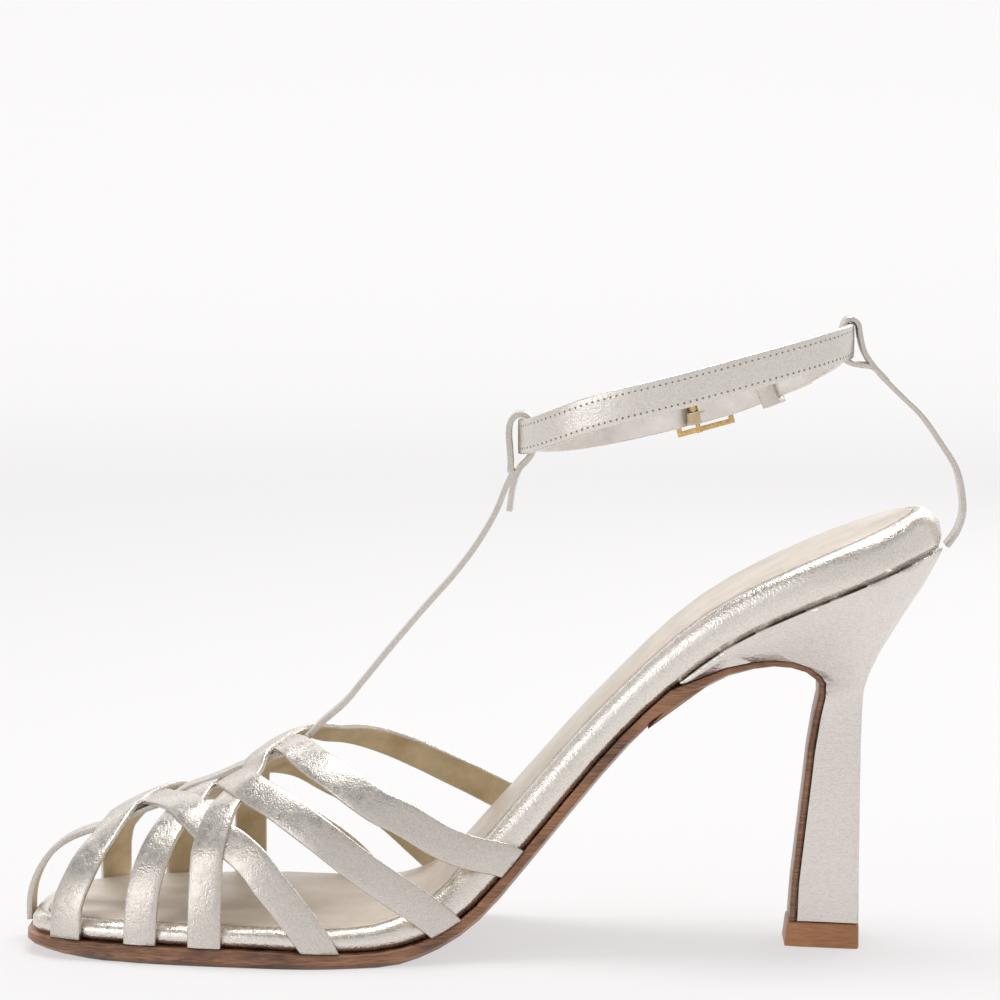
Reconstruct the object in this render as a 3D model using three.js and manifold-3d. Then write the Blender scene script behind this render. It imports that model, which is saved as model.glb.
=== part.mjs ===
import * as THREE from 'three';
import Module from 'manifold-3d';

const wasm = await Module();
wasm.setup();

// Driving sizes in mm. +Z is up, the toe points to -X and the inner (medial) side to -Y.
// The origin is on the floor under the middle of the forefoot tread.
const footLength = 219.6;
const toeReach = 69.6;
const heelHeight = 97.4;
const ballHalf = 38;
const soleThick = 3.5;
const toeSpring = 1.9;
const treadThick = 4.7;
const soleLip = 1.8;
const insoleThick = 10.4;
const sockThick = 0.7;
const sockInset = 3.6;
const gap = 0.3;

const strapWidth = 8;
const strapThick = 1.3;
const weaveStep = 1.0;
const instepHeight = 46.5;
const lastFullness = 2.35;

const ankleLength = 79;
const ankleHalf = 27.5;
const ankleFront = 48.2;
const ankleFrontHeight = 122.8;
const ankleRise = 23.4;
const ankleWidth = 8.1;
const ankleThick = 1.6;

const tipHeight = 5.8;
const tipLength = 17.2;
const tipHalf = 10.1;
const heelNeckHeight = 60;
const breastThick = 1.4;

const barThick = 1.3;
const buckleLength = 14.6;
const prongThick = 1.0;
const keeperWidth = 4.5;
const keeperThick = 1.2;

const toeFront = -toeReach;
const seatRise = heelHeight - soleThick;

// Monotone cubic through the rows of a table, keyed by its first column.
function reader(rows, column) {
  const n = rows.length;
  const xs = rows.map((row) => row[0]);
  const ys = rows.map((row) => row[column]);
  const slope = [];
  for (let i = 0; i < n - 1; i += 1) {
    slope.push((ys[i + 1] - ys[i]) / (xs[i + 1] - xs[i]));
  }
  const bend = [slope[0]];
  for (let i = 1; i < n - 1; i += 1) {
    const both = slope[i - 1] * slope[i];
    bend.push(both > 0 ? (2 * both) / (slope[i - 1] + slope[i]) : 0);
  }
  bend.push(slope[n - 2]);
  return (x) => {
    if (x <= xs[0]) return ys[0];
    if (x >= xs[n - 1]) return ys[n - 1];
    let i = 0;
    while (x > xs[i + 1]) i += 1;
    const wide = xs[i + 1] - xs[i];
    const t = (x - xs[i]) / wide;
    const a = (1 + 2 * t) * (1 - t) * (1 - t);
    const b = t * (1 - t) * (1 - t) * wide;
    const c = t * t * (3 - 2 * t);
    const d = t * t * (t - 1) * wide;
    return a * ys[i] + b * bend[i] + c * ys[i + 1] + d * bend[i + 1];
  };
}

// Feather line, seen from the side: share of the foot's length, share of the toe spring,
// share of the rise from ball to seat.
const featherRows = [
  [0, 1.0, 0],
  [0.053, 0.58, 0],
  [0.135, 0.47, 0],
  [0.249, 0.42, 0],
  [0.331, 0.05, 0],
  [0.381, 0, 0],
  [0.426, 0, 0.015],
  [0.458, 0, 0.044],
  [0.490, 0, 0.098],
  [0.526, 0, 0.193],
  [0.577, 0, 0.3355],
  [0.636, 0, 0.4995],
  [0.699, 0, 0.644],
  [0.763, 0, 0.758],
  [0.822, 0, 0.829],
  [0.891, 0, 0.897],
  [1, 0, 1],
];
const springShare = reader(featherRows, 1);
const riseShare = reader(featherRows, 2);

function featherZ(x) {
  let sum = 0;
  for (const [step, weight] of [[-0.017, 1], [0, 2], [0.017, 1]]) {
    const along = (x - toeFront) / footLength + step;
    sum += weight * (springShare(along) * toeSpring + riseShare(along) * seatRise);
  }
  return soleThick + sum / 4;
}

function profileAt(x) {
  const slope = (featherZ(x + 0.5) - featherZ(x - 0.5));
  const long = Math.hypot(1, slope);
  return { x, z: featherZ(x), nx: -slope / long, nz: 1 / long };
}

// Plan outline of the feather line: share of the length, medial and lateral shares of the
// half width at the ball. The first and last rows are the points at toe and seat.
const outlineRows = [
  [0, 0.15, -0.15],
  [0.0014, 0.39, 0.08],
  [0.0046, 0.50, 0.25],
  [0.012, 0.585, 0.42],
  [0.0255, 0.645, 0.592],
  [0.0437, 0.692, 0.718],
  [0.071, 0.753, 0.832],
  [0.1075, 0.811, 0.916],
  [0.153, 0.871, 0.971],
  [0.208, 0.932, 1.005],
  [0.262, 0.976, 1.024],
  [0.317, 0.989, 1.029],
  [0.3625, 0.953, 0.997],
  [0.408, 0.879, 0.921],
  [0.449, 0.797, 0.837],
  [0.490, 0.711, 0.753],
  [0.5355, 0.632, 0.674],
  [0.590, 0.579, 0.613],
  [0.6448, 0.558, 0.592],
  [0.6995, 0.576, 0.608],
  [0.7587, 0.616, 0.642],
  [0.818, 0.655, 0.674],
  [0.868, 0.682, 0.687],
  [0.909, 0.663, 0.663],
  [0.941, 0.589, 0.589],
  [0.968, 0.463, 0.463],
  [0.9863, 0.316, 0.316],
  [0.9968, 0.158, 0.158],
  [1, 0, 0],
];
const medialShare = reader(outlineRows, 1);
const lateralShare = reader(outlineRows, 2);
const halfMedial = (x) => ballHalf * medialShare((x - toeFront) / footLength);
const halfLateral = (x) => ballHalf * lateralShare((x - toeFront) / footLength);

// Stations run toe to seat; the ring goes along the medial side and back along the lateral.
function stationsOf(from, to) {
  const list = [];
  outlineRows.forEach((row, i) => {
    list.push(row[0]);
    const next = outlineRows[i + 1];
    if (next && i > 5 && i < 24) list.push((row[0] + next[0]) / 2);
  });
  return list.filter((share) => share >= from && share <= to);
}

function planRing(shares, grow) {
  const side = (sign, half) => shares.map((share) => {
    const x = toeFront + share * footLength;
    return [x, sign * half(x)];
  });
  const medial = side(-1, halfMedial);
  const lateral = side(1, halfLateral).reverse();
  const ring = medial.concat(lateral);
  const n = ring.length;
  return ring.map((point, i) => {
    let back = (i + n - 1) % n;
    let fore = (i + 1) % n;
    if (Math.hypot(ring[back][0] - point[0], ring[back][1] - point[1]) < 0.01) {
      back = (back + n - 1) % n;
    }
    if (Math.hypot(ring[fore][0] - point[0], ring[fore][1] - point[1]) < 0.01) {
      fore = (fore + 1) % n;
    }
    const dx = ring[fore][0] - ring[back][0];
    const dy = ring[fore][1] - ring[back][1];
    const long = Math.hypot(dx, dy);
    return [point[0] + (dy / long) * grow, point[1] - (dx / long) * grow];
  });
}

function geometryOf(points, faces) {
  const geometry = new THREE.BufferGeometry();
  geometry.setAttribute('position', new THREE.Float32BufferAttribute(points.flat(), 3));
  geometry.setIndex(faces.flat());
  return geometry;
}

const tidied = (geometry) => fromManifold(toManifold(geometry));

function toManifold(geometry) {
  const position = geometry.getAttribute('position');
  const seen = new Map();
  const points = [];
  const ids = [];
  for (let i = 0; i < position.count; i += 1) {
    const point = [position.getX(i), position.getY(i), position.getZ(i)];
    const key = point.map((v) => Math.round(v * 1e4)).join();
    if (!seen.has(key)) {
      seen.set(key, seen.size);
      points.push(...point);
    }
    ids.push(seen.get(key));
  }
  const index = geometry.getIndex() ? Array.from(geometry.getIndex().array, (i) => ids[i]) : ids;
  const triVerts = [];
  for (let i = 0; i < index.length; i += 3) {
    const [a, b, c] = index.slice(i, i + 3);
    if (a !== b && b !== c && c !== a) triVerts.push(a, b, c);
  }
  return new wasm.Manifold(new wasm.Mesh({
    numProp: 3,
    vertProperties: new Float32Array(points),
    triVerts: new Uint32Array(triVerts),
  }));
}

function fromManifold(solid) {
  const mesh = solid.getMesh();
  const geometry = new THREE.BufferGeometry();
  geometry.setAttribute('position', new THREE.Float32BufferAttribute(mesh.vertProperties, 3));
  geometry.setIndex(Array.from(mesh.triVerts));
  return geometry;
}

function outward(geometry) {
  const position = geometry.getAttribute('position');
  const index = geometry.getIndex().array;
  const a = new THREE.Vector3();
  const b = new THREE.Vector3();
  const c = new THREE.Vector3();
  let volume = 0;
  for (let i = 0; i < index.length; i += 3) {
    a.fromBufferAttribute(position, index[i]);
    b.fromBufferAttribute(position, index[i + 1]);
    c.fromBufferAttribute(position, index[i + 2]);
    volume += a.dot(b.cross(c));
  }
  if (volume >= 0) return geometry;
  const turned = [];
  for (let i = 0; i < index.length; i += 3) turned.push(index[i], index[i + 2], index[i + 1]);
  geometry.setIndex(turned);
  return geometry;
}

// A side view outline drawn right across the shoe, to cut with.
function prism(outline) {
  const shape = new THREE.Shape(outline.map(([x, z]) => new THREE.Vector2(x, z)));
  const geometry = new THREE.ExtrudeGeometry(shape, { depth: 4 * ballHalf, bevelEnabled: false });
  geometry.rotateX(Math.PI / 2);
  geometry.translate(0, 2 * ballHalf, 0);
  return toManifold(geometry);
}

function belowFeather() {
  const line = [];
  for (let share = -0.03; share < 1.03; share += 0.01) {
    const x = toeFront + share * footLength;
    line.push([x, featherZ(x) + gap / 2]);
  }
  const deep = -heelHeight;
  return prism(line.concat([[line[line.length - 1][0], deep], [line[0][0], deep]]));
}

// Rings of equal count joined side to side, the ends closed by strips between paired points.
function stack(rings) {
  const n = rings[0].length;
  const half = n / 2;
  const faces = [];
  for (let k = 0; k < rings.length - 1; k += 1) {
    for (let i = 0; i < n; i += 1) {
      const j = (i + 1) % n;
      faces.push([k * n + i, k * n + j, (k + 1) * n + j]);
      faces.push([k * n + i, (k + 1) * n + j, (k + 1) * n + i]);
    }
  }
  const top = (rings.length - 1) * n;
  for (let i = 0; i < half - 1; i += 1) {
    const a = i;
    const b = i + 1;
    const c = n - 2 - i;
    const d = n - 1 - i;
    faces.push([a, d, c], [a, c, b]);
    faces.push([top + a, top + c, top + d], [top + a, top + b, top + c]);
  }
  return outward(geometryOf(rings.flat(), faces));
}

// A section swept along frames; each frame has a place, a width direction and an outward one.
function sweep(frames, section) {
  const n = section.length;
  const points = [];
  const faces = [];
  frames.forEach((frame) => {
    section.forEach(([across, up]) => {
      points.push([
        frame.at.x + frame.side.x * across + frame.out.x * up,
        frame.at.y + frame.side.y * across + frame.out.y * up,
        frame.at.z + frame.side.z * across + frame.out.z * up,
      ]);
    });
  });
  for (let k = 0; k < frames.length - 1; k += 1) {
    for (let i = 0; i < n; i += 1) {
      const j = (i + 1) % n;
      faces.push([k * n + i, k * n + j, (k + 1) * n + j]);
      faces.push([k * n + i, (k + 1) * n + j, (k + 1) * n + i]);
    }
  }
  const last = (frames.length - 1) * n;
  for (let i = 1; i < n - 1; i += 1) {
    faces.push([0, i + 1, i]);
    faces.push([last, last + i, last + i + 1]);
  }
  return outward(geometryOf(points, faces));
}

function strapSection(width, thick) {
  const half = width / 2;
  return [
    [-half + 0.3, 0],
    [half - 0.3, 0],
    [half, thick * 0.45],
    [half - 0.5, thick * 0.92],
    [0, thick],
    [-half + 0.5, thick * 0.92],
    [-half, thick * 0.45],
  ];
}

// Insole thickness along the shoe, as shares of its thickness at the seat.
const insoleRows = [
  [0, 0.44],
  [0.135, 0.46],
  [0.317, 0.48],
  [0.372, 0.53],
  [0.417, 0.635],
  [0.463, 0.77],
  [0.517, 0.855],
  [0.581, 0.81],
  [0.658, 0.77],
  [0.736, 0.865],
  [0.818, 0.95],
  [0.909, 1],
  [1, 1],
];
const insoleShare = reader(insoleRows, 1);
const insoleAt = (x) => insoleThick * insoleShare((x - toeFront) / footLength);

function lift(ring, height) {
  return ring.map(([x, y]) => {
    const p = profileAt(x);
    const h = height(x);
    return [p.x + p.nx * h, y, p.z + p.nz * h];
  });
}

function makeInsole() {
  const shares = stationsOf(0, 1);
  const wall = [
    [-0.9, 0.02],
    [0, 0.2],
    [0, 0.55],
    [-0.8, 0.82],
    [-2.2, 0.96],
    [gap - sockInset, 1],
  ];
  const rings = wall.map(([grow, share]) => {
    return lift(planRing(shares, grow), (x) => gap / 2 + share * (insoleAt(x) - gap / 2));
  });
  rings.push(lift(planRing(shares, -sockInset), (x) => insoleAt(x) - gap - sockThick / 2));
  return stack(rings);
}

function makeSock() {
  const shares = stationsOf(0, 1);
  const bottom = (x) => insoleAt(x) - sockThick / 2;
  const edge = -sockInset - gap;
  return stack([
    lift(planRing(shares, edge), bottom),
    lift(planRing(shares, edge), (x) => bottom(x) + sockThick * 0.6),
    lift(planRing(shares, edge - 0.5), (x) => bottom(x) + sockThick),
  ]);
}

// Breast of the heel, seen from the side, from the feather line down to the heel tip: shares
// of the foot's length and of the heel's height, the half width as a share of the ball's, the
// flap's thickness and its bevel.
const breastRows = [
  [0.735, 0.6885, 0.585, 2.1, 0.17],
  [0.7605, 0.711, 0.57, 1.55, 0.1],
  [0.789, 0.7235, 0.535, 1.15, 0.045],
  [0.812, 0.7265, 0.485, 1, 0.02],
  [0.833, 0.7195, 0.415, 1, 0.013],
  [0.851, 0.703, 0.335, 1, 0.013],
  [0.8635, 0.679, 0.262, 1, 0.013],
  [0.869, 0.6595, 0.225, 1, 0.013],
  [0.8690, 0.6205, 0.195, 1, 0.013],
  [0.8645, 0.576, 0.185, 1, 0.013],
  [0.858, 0.486, 0.176, 1, 0.013],
  [0.854, 0.4035, 0.175, 1, 0.013],
  [0.8485, 0.2955, 0.177, 1, 0.013],
  [0.8415, 0.158, 0.182, 1, 0.013],
];
const breastFoot = [0.8385, 0, 0.188, 1, 0.013];

// The outsole's top line: under the foot, then down the breast.
function soleLine() {
  const line = [];
  stationsOf(0, 0.703).forEach((share) => {
    const x = toeFront + share * footLength;
    line.push({ x, z: featherZ(x) - gap / 2, under: true });
  });
  const bottom = tipHeight + gap;
  [...breastRows, breastFoot].forEach(([along, high, half, thick, bevel]) => {
    line.push({
      x: toeFront + along * footLength,
      z: high > 0 ? high * heelHeight : bottom,
      half: half * ballHalf,
      thick: thick * breastThick,
      bevel: bevel * ballHalf,
    });
  });
  return line;
}

// Outsole across: share of the length, edge thickness, whole thickness, bevel, lip (mm shares).
const soleRows = [
  [0, 0.40, 0.55, 0.04, 0.6],
  [0.012, 0.42, 0.62, 0.045, 0.7],
  [0.05, 0.52, 0.80, 0.045, 1],
  [0.13, 0.66, 1, 0.045, 1],
  [0.30, 0.60, 0.95, 0.045, 1],
  [0.40, 0.50, 0.84, 0.06, 0.9],
  [0.46, 0.46, 0.78, 0.13, 0.7],
  [0.54, 0.46, 0.76, 0.22, 0.4],
  [0.66, 0.44, 0.74, 0.24, 0.3],
  [0.71, 0.38, 0.66, 0.2, 0.25],
];
const edgeShare = reader(soleRows, 1);
const wholeShare = reader(soleRows, 2);
const bevelShare = reader(soleRows, 3);
const lipShare = reader(soleRows, 4);

function makeOutsole() {
  const line = soleLine();
  const count = line.length;
  const frames = line.map((p, i) => {
    const back = line[Math.max(0, i - 1)];
    const fore = line[Math.min(count - 1, i + 1)];
    const dx = fore.x - back.x;
    const dz = fore.z - back.z;
    const long = Math.hypot(dx, dz);
    return { nx: -dz / long, nz: dx / long };
  });
  const under = line.filter((p) => p.under).length;
  const shares = stationsOf(0, 0.703);
  const layer = (kind) => {
    const grown = planRing(shares, 0);
    const n = grown.length;
    const medial = [];
    const lateral = [];
    for (let i = 0; i < count; i += 1) {
      const p = line[i];
      const share = (p.x - toeFront) / footLength;
      const lower = kind.depth(share, p);
      const inset = kind.inset(share, p);
      const place = (x, y) => {
        let px = x;
        let pz = p.z;
        let nx = frames[i].nx;
        let nz = frames[i].nz;
        if (p.under) {
          const q = profileAt(x);
          px = q.x;
          pz = q.z - gap / 2;
          nx = q.nx;
          nz = q.nz;
        }
        return [px - nx * lower, y, Math.max(0, pz - nz * lower)];
      };
      if (p.under) {
        const lip = soleLip * lipShare(share);
        const a = ringPoint(shares, i, lip - inset);
        const b = ringPoint(shares, n - 1 - i, lip - inset);
        medial.push(place(a[0], a[1]));
        lateral.push(place(b[0], b[1]));
      } else {
        medial.push(place(p.x, -(p.half - inset)));
        lateral.push(place(p.x, p.half - inset));
      }
    }
    return medial.concat(lateral.reverse());
  };
  const ringPoint = (list, i, grow) => planRing(list, grow)[i];
  const bevel = (share, p) => (p.under ? bevelShare(share) * ballHalf : p.bevel);
  const edge = (share, p) => (p.under ? edgeShare(share) * treadThick : p.thick * 0.6);
  const whole = (share, p) => (p.under ? wholeShare(share) * treadThick : p.thick);
  return stack([
    layer({ depth: () => 0, inset: () => 0.3 }),
    layer({ depth: () => 0.35, inset: () => 0 }),
    layer({ depth: edge, inset: () => 0 }),
    layer({
      depth: (share, p) => (edge(share, p) + whole(share, p) * 2) / 3,
      inset: (share, p) => bevel(share, p) * 0.45,
    }),
    layer({ depth: whole, inset: bevel }),
  ]);
}

// Heel: ribs run from the seat's outline down to the neck, then the stem to the tip.
const ribRows = [
  [0, 0, 0],
  [0.06, 0.045, 0.03],
  [0.25, 0.24, 0.2],
  [0.41, 0.44, 0.42],
  [0.67, 0.745, 0.755],
  [0.83, 0.9, 0.915],
  [0.92, 0.975, 0.975],
  [1, 1, 1],
];
const seatShares = [0.71, 0.7587, 0.79, 0.818, 0.845, 0.868, 0.909, 0.941, 0.968, 0.9863, 0.9968, 1];
// Stem outline, from the breast corner round to the middle of the back: shares of the tip's
// length measured from its front, and of its half width.
const stemRows = [
  [-0.32, 0.66, 0.69, 0.70],
  [0.2, 0.74, 0.74, 0.72],
  [0.4, 0.80, 0.80, 0.74],
  [0.6, 0.86, 0.86, 0.755],
  [0.75, 0.905, 0.91, 0.765],
  [0.87, 0.94, 0.945, 0.77],
  [0.95, 0.96, 0.97, 0.765],
  [0.985, 0.92, 0.93, 0.72],
  [1, 0.80, 0.81, 0.62],
  [1, 0.5, 0.5, 0.42],
  [1, 0.25, 0.25, 0.2],
  [1, 0, 0, 0],
];
// Stem from the neck down: height as a share of the neck's, front and back as shares of the
// foot's length, and how far the section has swelled from the neck's towards the tip's.
const stemDownRows = [
  [1, 0.8684, 0.9112, 0],
  [0.8, 0.8575, 0.9094, 0.2],
  [0.5, 0.8479, 0.9087, 0.5],
  [0.233, 0.8406, 0.9082, 0.8],
  [0, 0.8365, 0.908, 1],
];
const heelBack = toeFront + 0.908 * footLength;

function heelRing(points) {
  const medial = points.map(([x, y, z]) => [x, -y, z]);
  const lateral = points.map(([x, y, z]) => [x, y, z]).reverse();
  return medial.concat(lateral);
}

function makeHeel() {
  const rings = [];
  const drop = gap / 2;
  const seat = seatShares.map((share) => {
    const x = toeFront + share * footLength;
    return [x, halfMedial(x) + 0.2, featherZ(x) + 2 * breastThick];
  });
  rings.push(heelRing(seat));
  const stemFoot = tipHeight + gap;
  const stem = stemDownRows.map(([high, fore, rear, swell]) => stemRows.map(([along, , low, top]) => {
    const front = toeFront + fore * footLength;
    const back = toeFront + rear * footLength;
    return [
      front + along * (back - front),
      (top + (low - top) * swell) * tipHalf,
      stemFoot + high * (heelNeckHeight - stemFoot),
    ];
  }));
  const neck = stem[0];
  ribRows.forEach(([down, inX, inY]) => {
    rings.push(heelRing(seatShares.map((share, i) => {
      const x = toeFront + share * footLength;
      const top = featherZ(x) - drop;
      const half = halfMedial(x) + 0.2;
      return [
        x + (neck[i][0] - x) * inX,
        half + (neck[i][1] - half) * inY,
        top + (heelNeckHeight - top) * down,
      ];
    })));
  });
  stem.slice(1).forEach((ring) => rings.push(heelRing(ring)));
  const body = toManifold(stack(rings));
  const breast = breastRows.map(([along, high]) => [toeFront + along * footLength, high * heelHeight]);
  breast.push([toeFront + breastFoot[0] * footLength, 0]);
  const off = breast.map(([x, z], i) => {
    const back = breast[Math.max(0, i - 1)];
    const fore = breast[Math.min(breast.length - 1, i + 1)];
    const dx = fore[0] - back[0];
    const dz = fore[1] - back[1];
    const long = Math.hypot(dx, dz);
    return [x - (dz / long) * gap, z + (dx / long) * gap];
  });
  const leave = toeFront + 0.703 * footLength;
  const ahead = toeFront + 0.6 * footLength;
  const arch = off.concat([[ahead, -soleThick], [ahead, featherZ(ahead)], [leave, featherZ(leave) + drop]]);
  const seatLine = [];
  for (let share = 0.69; share < 1.06; share += 0.012) {
    const x = toeFront + share * footLength;
    seatLine.push([x, featherZ(Math.min(x, toeFront + footLength)) - drop]);
  }
  const lastX = seatLine[seatLine.length - 1][0];
  const above = seatLine.concat([[lastX, 1.5 * heelHeight], [seatLine[0][0], 1.5 * heelHeight]]);
  return fromManifold(body.subtract(prism(arch)).subtract(prism(above)));
}

function makeTip() {
  const ring = (z, front, swell) => heelRing(stemRows.map(([along, full]) => {
    const share = Math.max(0, along);
    return [
      front + share * (heelBack - front),
      (along < 0 ? 0.71 : full + 0.08) * tipHalf * swell,
      z,
    ];
  }));
  const front = heelBack - tipLength;
  return stack([
    ring(0, front - 0.6, 1.02),
    ring(tipHeight * 0.9, front + 0.1, 1),
    ring(tipHeight, front + 0.4, 0.98),
  ]);
}

// The foot's form that carries the vamp: share of the length, height of the ridge as a share of
// the instep, and the ridge's offset across as a share of the half width at the ball.
const ridgeRows = [
  [-0.01, 0.16, -0.16],
  [0.012, 0.35, -0.15],
  [0.035, 0.44, -0.145],
  [0.054, 0.488, -0.14],
  [0.076, 0.523, -0.135],
  [0.103, 0.575, -0.125],
  [0.135, 0.636, -0.115],
  [0.162, 0.674, -0.105],
  [0.180, 0.7, -0.1],
  [0.203, 0.74, -0.09],
  [0.232, 0.804, -0.08],
  [0.262, 0.89, -0.065],
  [0.285, 0.943, -0.06],
  [0.310, 0.98, -0.055],
  [0.340, 1.04, -0.05],
  [0.385, 1.14, -0.05],
  [0.454, 1.34, -0.045],
  [0.545, 1.68, -0.04],
];
const ridgeShare = reader(ridgeRows, 1);
const ridgeSide = reader(ridgeRows, 2);

function ridgeZ(x) {
  const along = (x - toeFront) / footLength;
  const base = soleThick + ridgeShare(along) * instepHeight;
  return Math.max(base, featherZ(x) + 2);
}

function lastPoint(x, turn) {
  const along = (x - toeFront) / footLength;
  const middle = ridgeSide(along) * ballHalf;
  const low = featherZ(x);
  const high = ridgeZ(x);
  const c = Math.cos(Math.PI * turn);
  const s = Math.max(0, Math.sin(Math.PI * turn));
  const reach = c > 0 ? halfMedial(x) + gap + middle : halfLateral(x) + gap - middle;
  const power = 2 / lastFullness;
  return new THREE.Vector3(
    x,
    middle - Math.sign(c) * reach * Math.abs(c) ** power,
    low + (high - low) * s ** power,
  );
}

function lastNormal(x, turn) {
  const t = Math.min(0.985, Math.max(0.015, turn));
  const dx = lastPoint(x + 0.5, t).sub(lastPoint(x - 0.5, t));
  const dt = lastPoint(x, t + 0.01).sub(lastPoint(x, t - 0.01));
  const normal = dx.cross(dt).normalize();
  const middle = new THREE.Vector3(x, 0, featherZ(x));
  if (normal.dot(lastPoint(x, t).sub(middle)) < 0) normal.negate();
  return normal;
}

// Vamp straps: turn over the foot (0 medial feather, 1 lateral feather) and place along the
// shoe as a share of its length. The first three lean back, the last three lean forward.
const strapRows = {
  first: [
    [0, 0.0475],
    [0.08, 0.049],
    [0.21, 0.062],
    [0.3, 0.073],
    [0.38, 0.086],
    [0.44, 0.097],
    [0.5, 0.110],
    [0.55, 0.1257],
    [0.62, 0.151],
    [0.7, 0.185],
    [0.77, 0.218],
    [0.84, 0.254],
    [0.884, 0.2805],
    [0.948, 0.3306],
    [1, 0.369],
  ],
  second: [
    [0, 0.131],
    [0.1, 0.1335],
    [0.17, 0.139],
    [0.25, 0.148],
    [0.32, 0.159],
    [0.4, 0.174],
    [0.5, 0.196],
    [0.6, 0.226],
    [0.68, 0.2555],
    [0.74, 0.283],
    [0.79, 0.308],
    [0.84, 0.340],
    [0.9, 0.381],
    [0.95, 0.417],
    [1, 0.458],
  ],
  third: [
    [0, 0.202],
    [0.1, 0.2025],
    [0.19, 0.205],
    [0.25, 0.211],
    [0.31, 0.2185],
    [0.37, 0.229],
    [0.43, 0.245],
    [0.5, 0.269],
    [0.54, 0.2855],
    [0.6, 0.310],
    [0.65, 0.333],
    [0.73, 0.374],
    [0.79, 0.410],
    [0.835, 0.440],
    [0.89, 0.4775],
    [0.94, 0.508],
    [1, 0.542],
  ],
  fourth: [
    [0, 0.326],
    [0.06, 0.292],
    [0.1, 0.272],
    [0.15, 0.2535],
    [0.2, 0.233],
    [0.25, 0.210],
    [0.32, 0.189],
    [0.4, 0.169],
    [0.5, 0.137],
    [0.58, 0.117],
    [0.68, 0.091],
    [0.76, 0.0745],
    [0.85, 0.0685],
    [0.92, 0.067],
    [1, 0.066],
  ],
  fifth: [
    [0, 0.459],
    [0.035, 0.429],
    [0.08, 0.390],
    [0.125, 0.356],
    [0.19, 0.317],
    [0.25, 0.284],
    [0.32, 0.255],
    [0.4, 0.2335],
    [0.5, 0.212],
    [0.57, 0.196],
    [0.64, 0.178],
    [0.71, 0.160],
    [0.79, 0.147],
    [0.84, 0.141],
    [0.94, 0.139],
    [1, 0.138],
  ],
  sixth: [
    [0, 0.530],
    [0.04, 0.500],
    [0.1, 0.4535],
    [0.16, 0.413],
    [0.2, 0.3845],
    [0.27, 0.349],
    [0.34, 0.321],
    [0.42, 0.297],
    [0.5, 0.276],
    [0.58, 0.256],
    [0.66, 0.2385],
    [0.74, 0.2268],
    [0.8, 0.2215],
    [0.93, 0.2178],
    [1, 0.2165],
  ],
};
// The weave: turn over the foot and layer above the lowest strap.
const layerRows = {
  first: [[0.36, 0], [0.43, 1], [0.49, 2], [0.6, 2], [0.645, 0], [0.69, 0], [0.745, 1], [0.81, 1], [0.86, 0]],
  second: [[0.42, 0], [0.47, 1], [0.59, 1], [0.625, 0]],
  third: [[0.14, 0], [0.2, 1], [0.3, 1], [0.365, 0], [0.425, 0], [0.465, 2], [0.56, 2], [0.63, 0]],
  fourth: [[0.29, 0], [0.345, 1], [0.6, 1], [0.65, 0]],
  fifth: [[0.31, 0], [0.36, 1], [0.44, 1], [0.485, 0], [0.59, 0], [0.63, 1], [0.71, 1], [0.78, 0]],
  sixth: [[0.4, 0], [0.455, 1], [0.69, 1], [0.735, 0]],
};

function strapFrames(rows, layers, steps) {
  const along = reader(rows, 1);
  const layer = reader(layers, 1);
  const many = 240;
  const fine = [];
  for (let i = 0; i <= many; i += 1) {
    const turn = 0.5 - 0.5 * Math.cos((Math.PI * i) / many);
    const x = toeFront + along(turn) * footLength;
    fine.push({ turn, x, at: lastPoint(x, turn) });
  }
  const length = [0];
  for (let i = 1; i <= many; i += 1) {
    length.push(length[i - 1] + fine[i].at.distanceTo(fine[i - 1].at));
  }
  const total = length[many];
  const picked = [];
  for (let k = 0; k <= steps; k += 1) {
    const want = Math.min(total - 0.2, Math.max(0.2, (total * k) / steps));
    let i = 0;
    while (i < many - 1 && length[i + 1] < want) i += 1;
    const share = (want - length[i]) / (length[i + 1] - length[i]);
    const turn = fine[i].turn + (fine[i + 1].turn - fine[i].turn) * share;
    const x = toeFront + along(turn) * footLength;
    const out = lastNormal(x, turn);
    const at = lastPoint(x, turn).addScaledVector(out, layer(turn) * weaveStep);
    picked.push({ at, out });
  }
  return squareUp(lengthen(picked, strapWidth * 0.55));
}

// Both ends run on past the feather line, where the sole's line then trims them.
function lengthen(frames, more) {
  const n = frames.length;
  const ends = [[0, 1], [n - 1, n - 2]].map(([end, next]) => {
    const away = frames[end].at.clone().sub(frames[next].at).normalize();
    return { at: frames[end].at.clone().addScaledVector(away, more), out: frames[end].out };
  });
  return [ends[0], ...frames, ends[1]];
}

// The width direction of each frame is square to the path and to the outward direction.
function squareUp(frames) {
  const n = frames.length;
  return frames.map((frame, k) => {
    const back = frames[Math.max(0, k - 1)].at;
    const fore = frames[Math.min(n - 1, k + 1)].at;
    const along = fore.clone().sub(back).normalize();
    const side = along.clone().cross(frame.out).normalize();
    const out = side.clone().cross(along).normalize();
    return { at: frame.at, side, out };
  });
}

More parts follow.
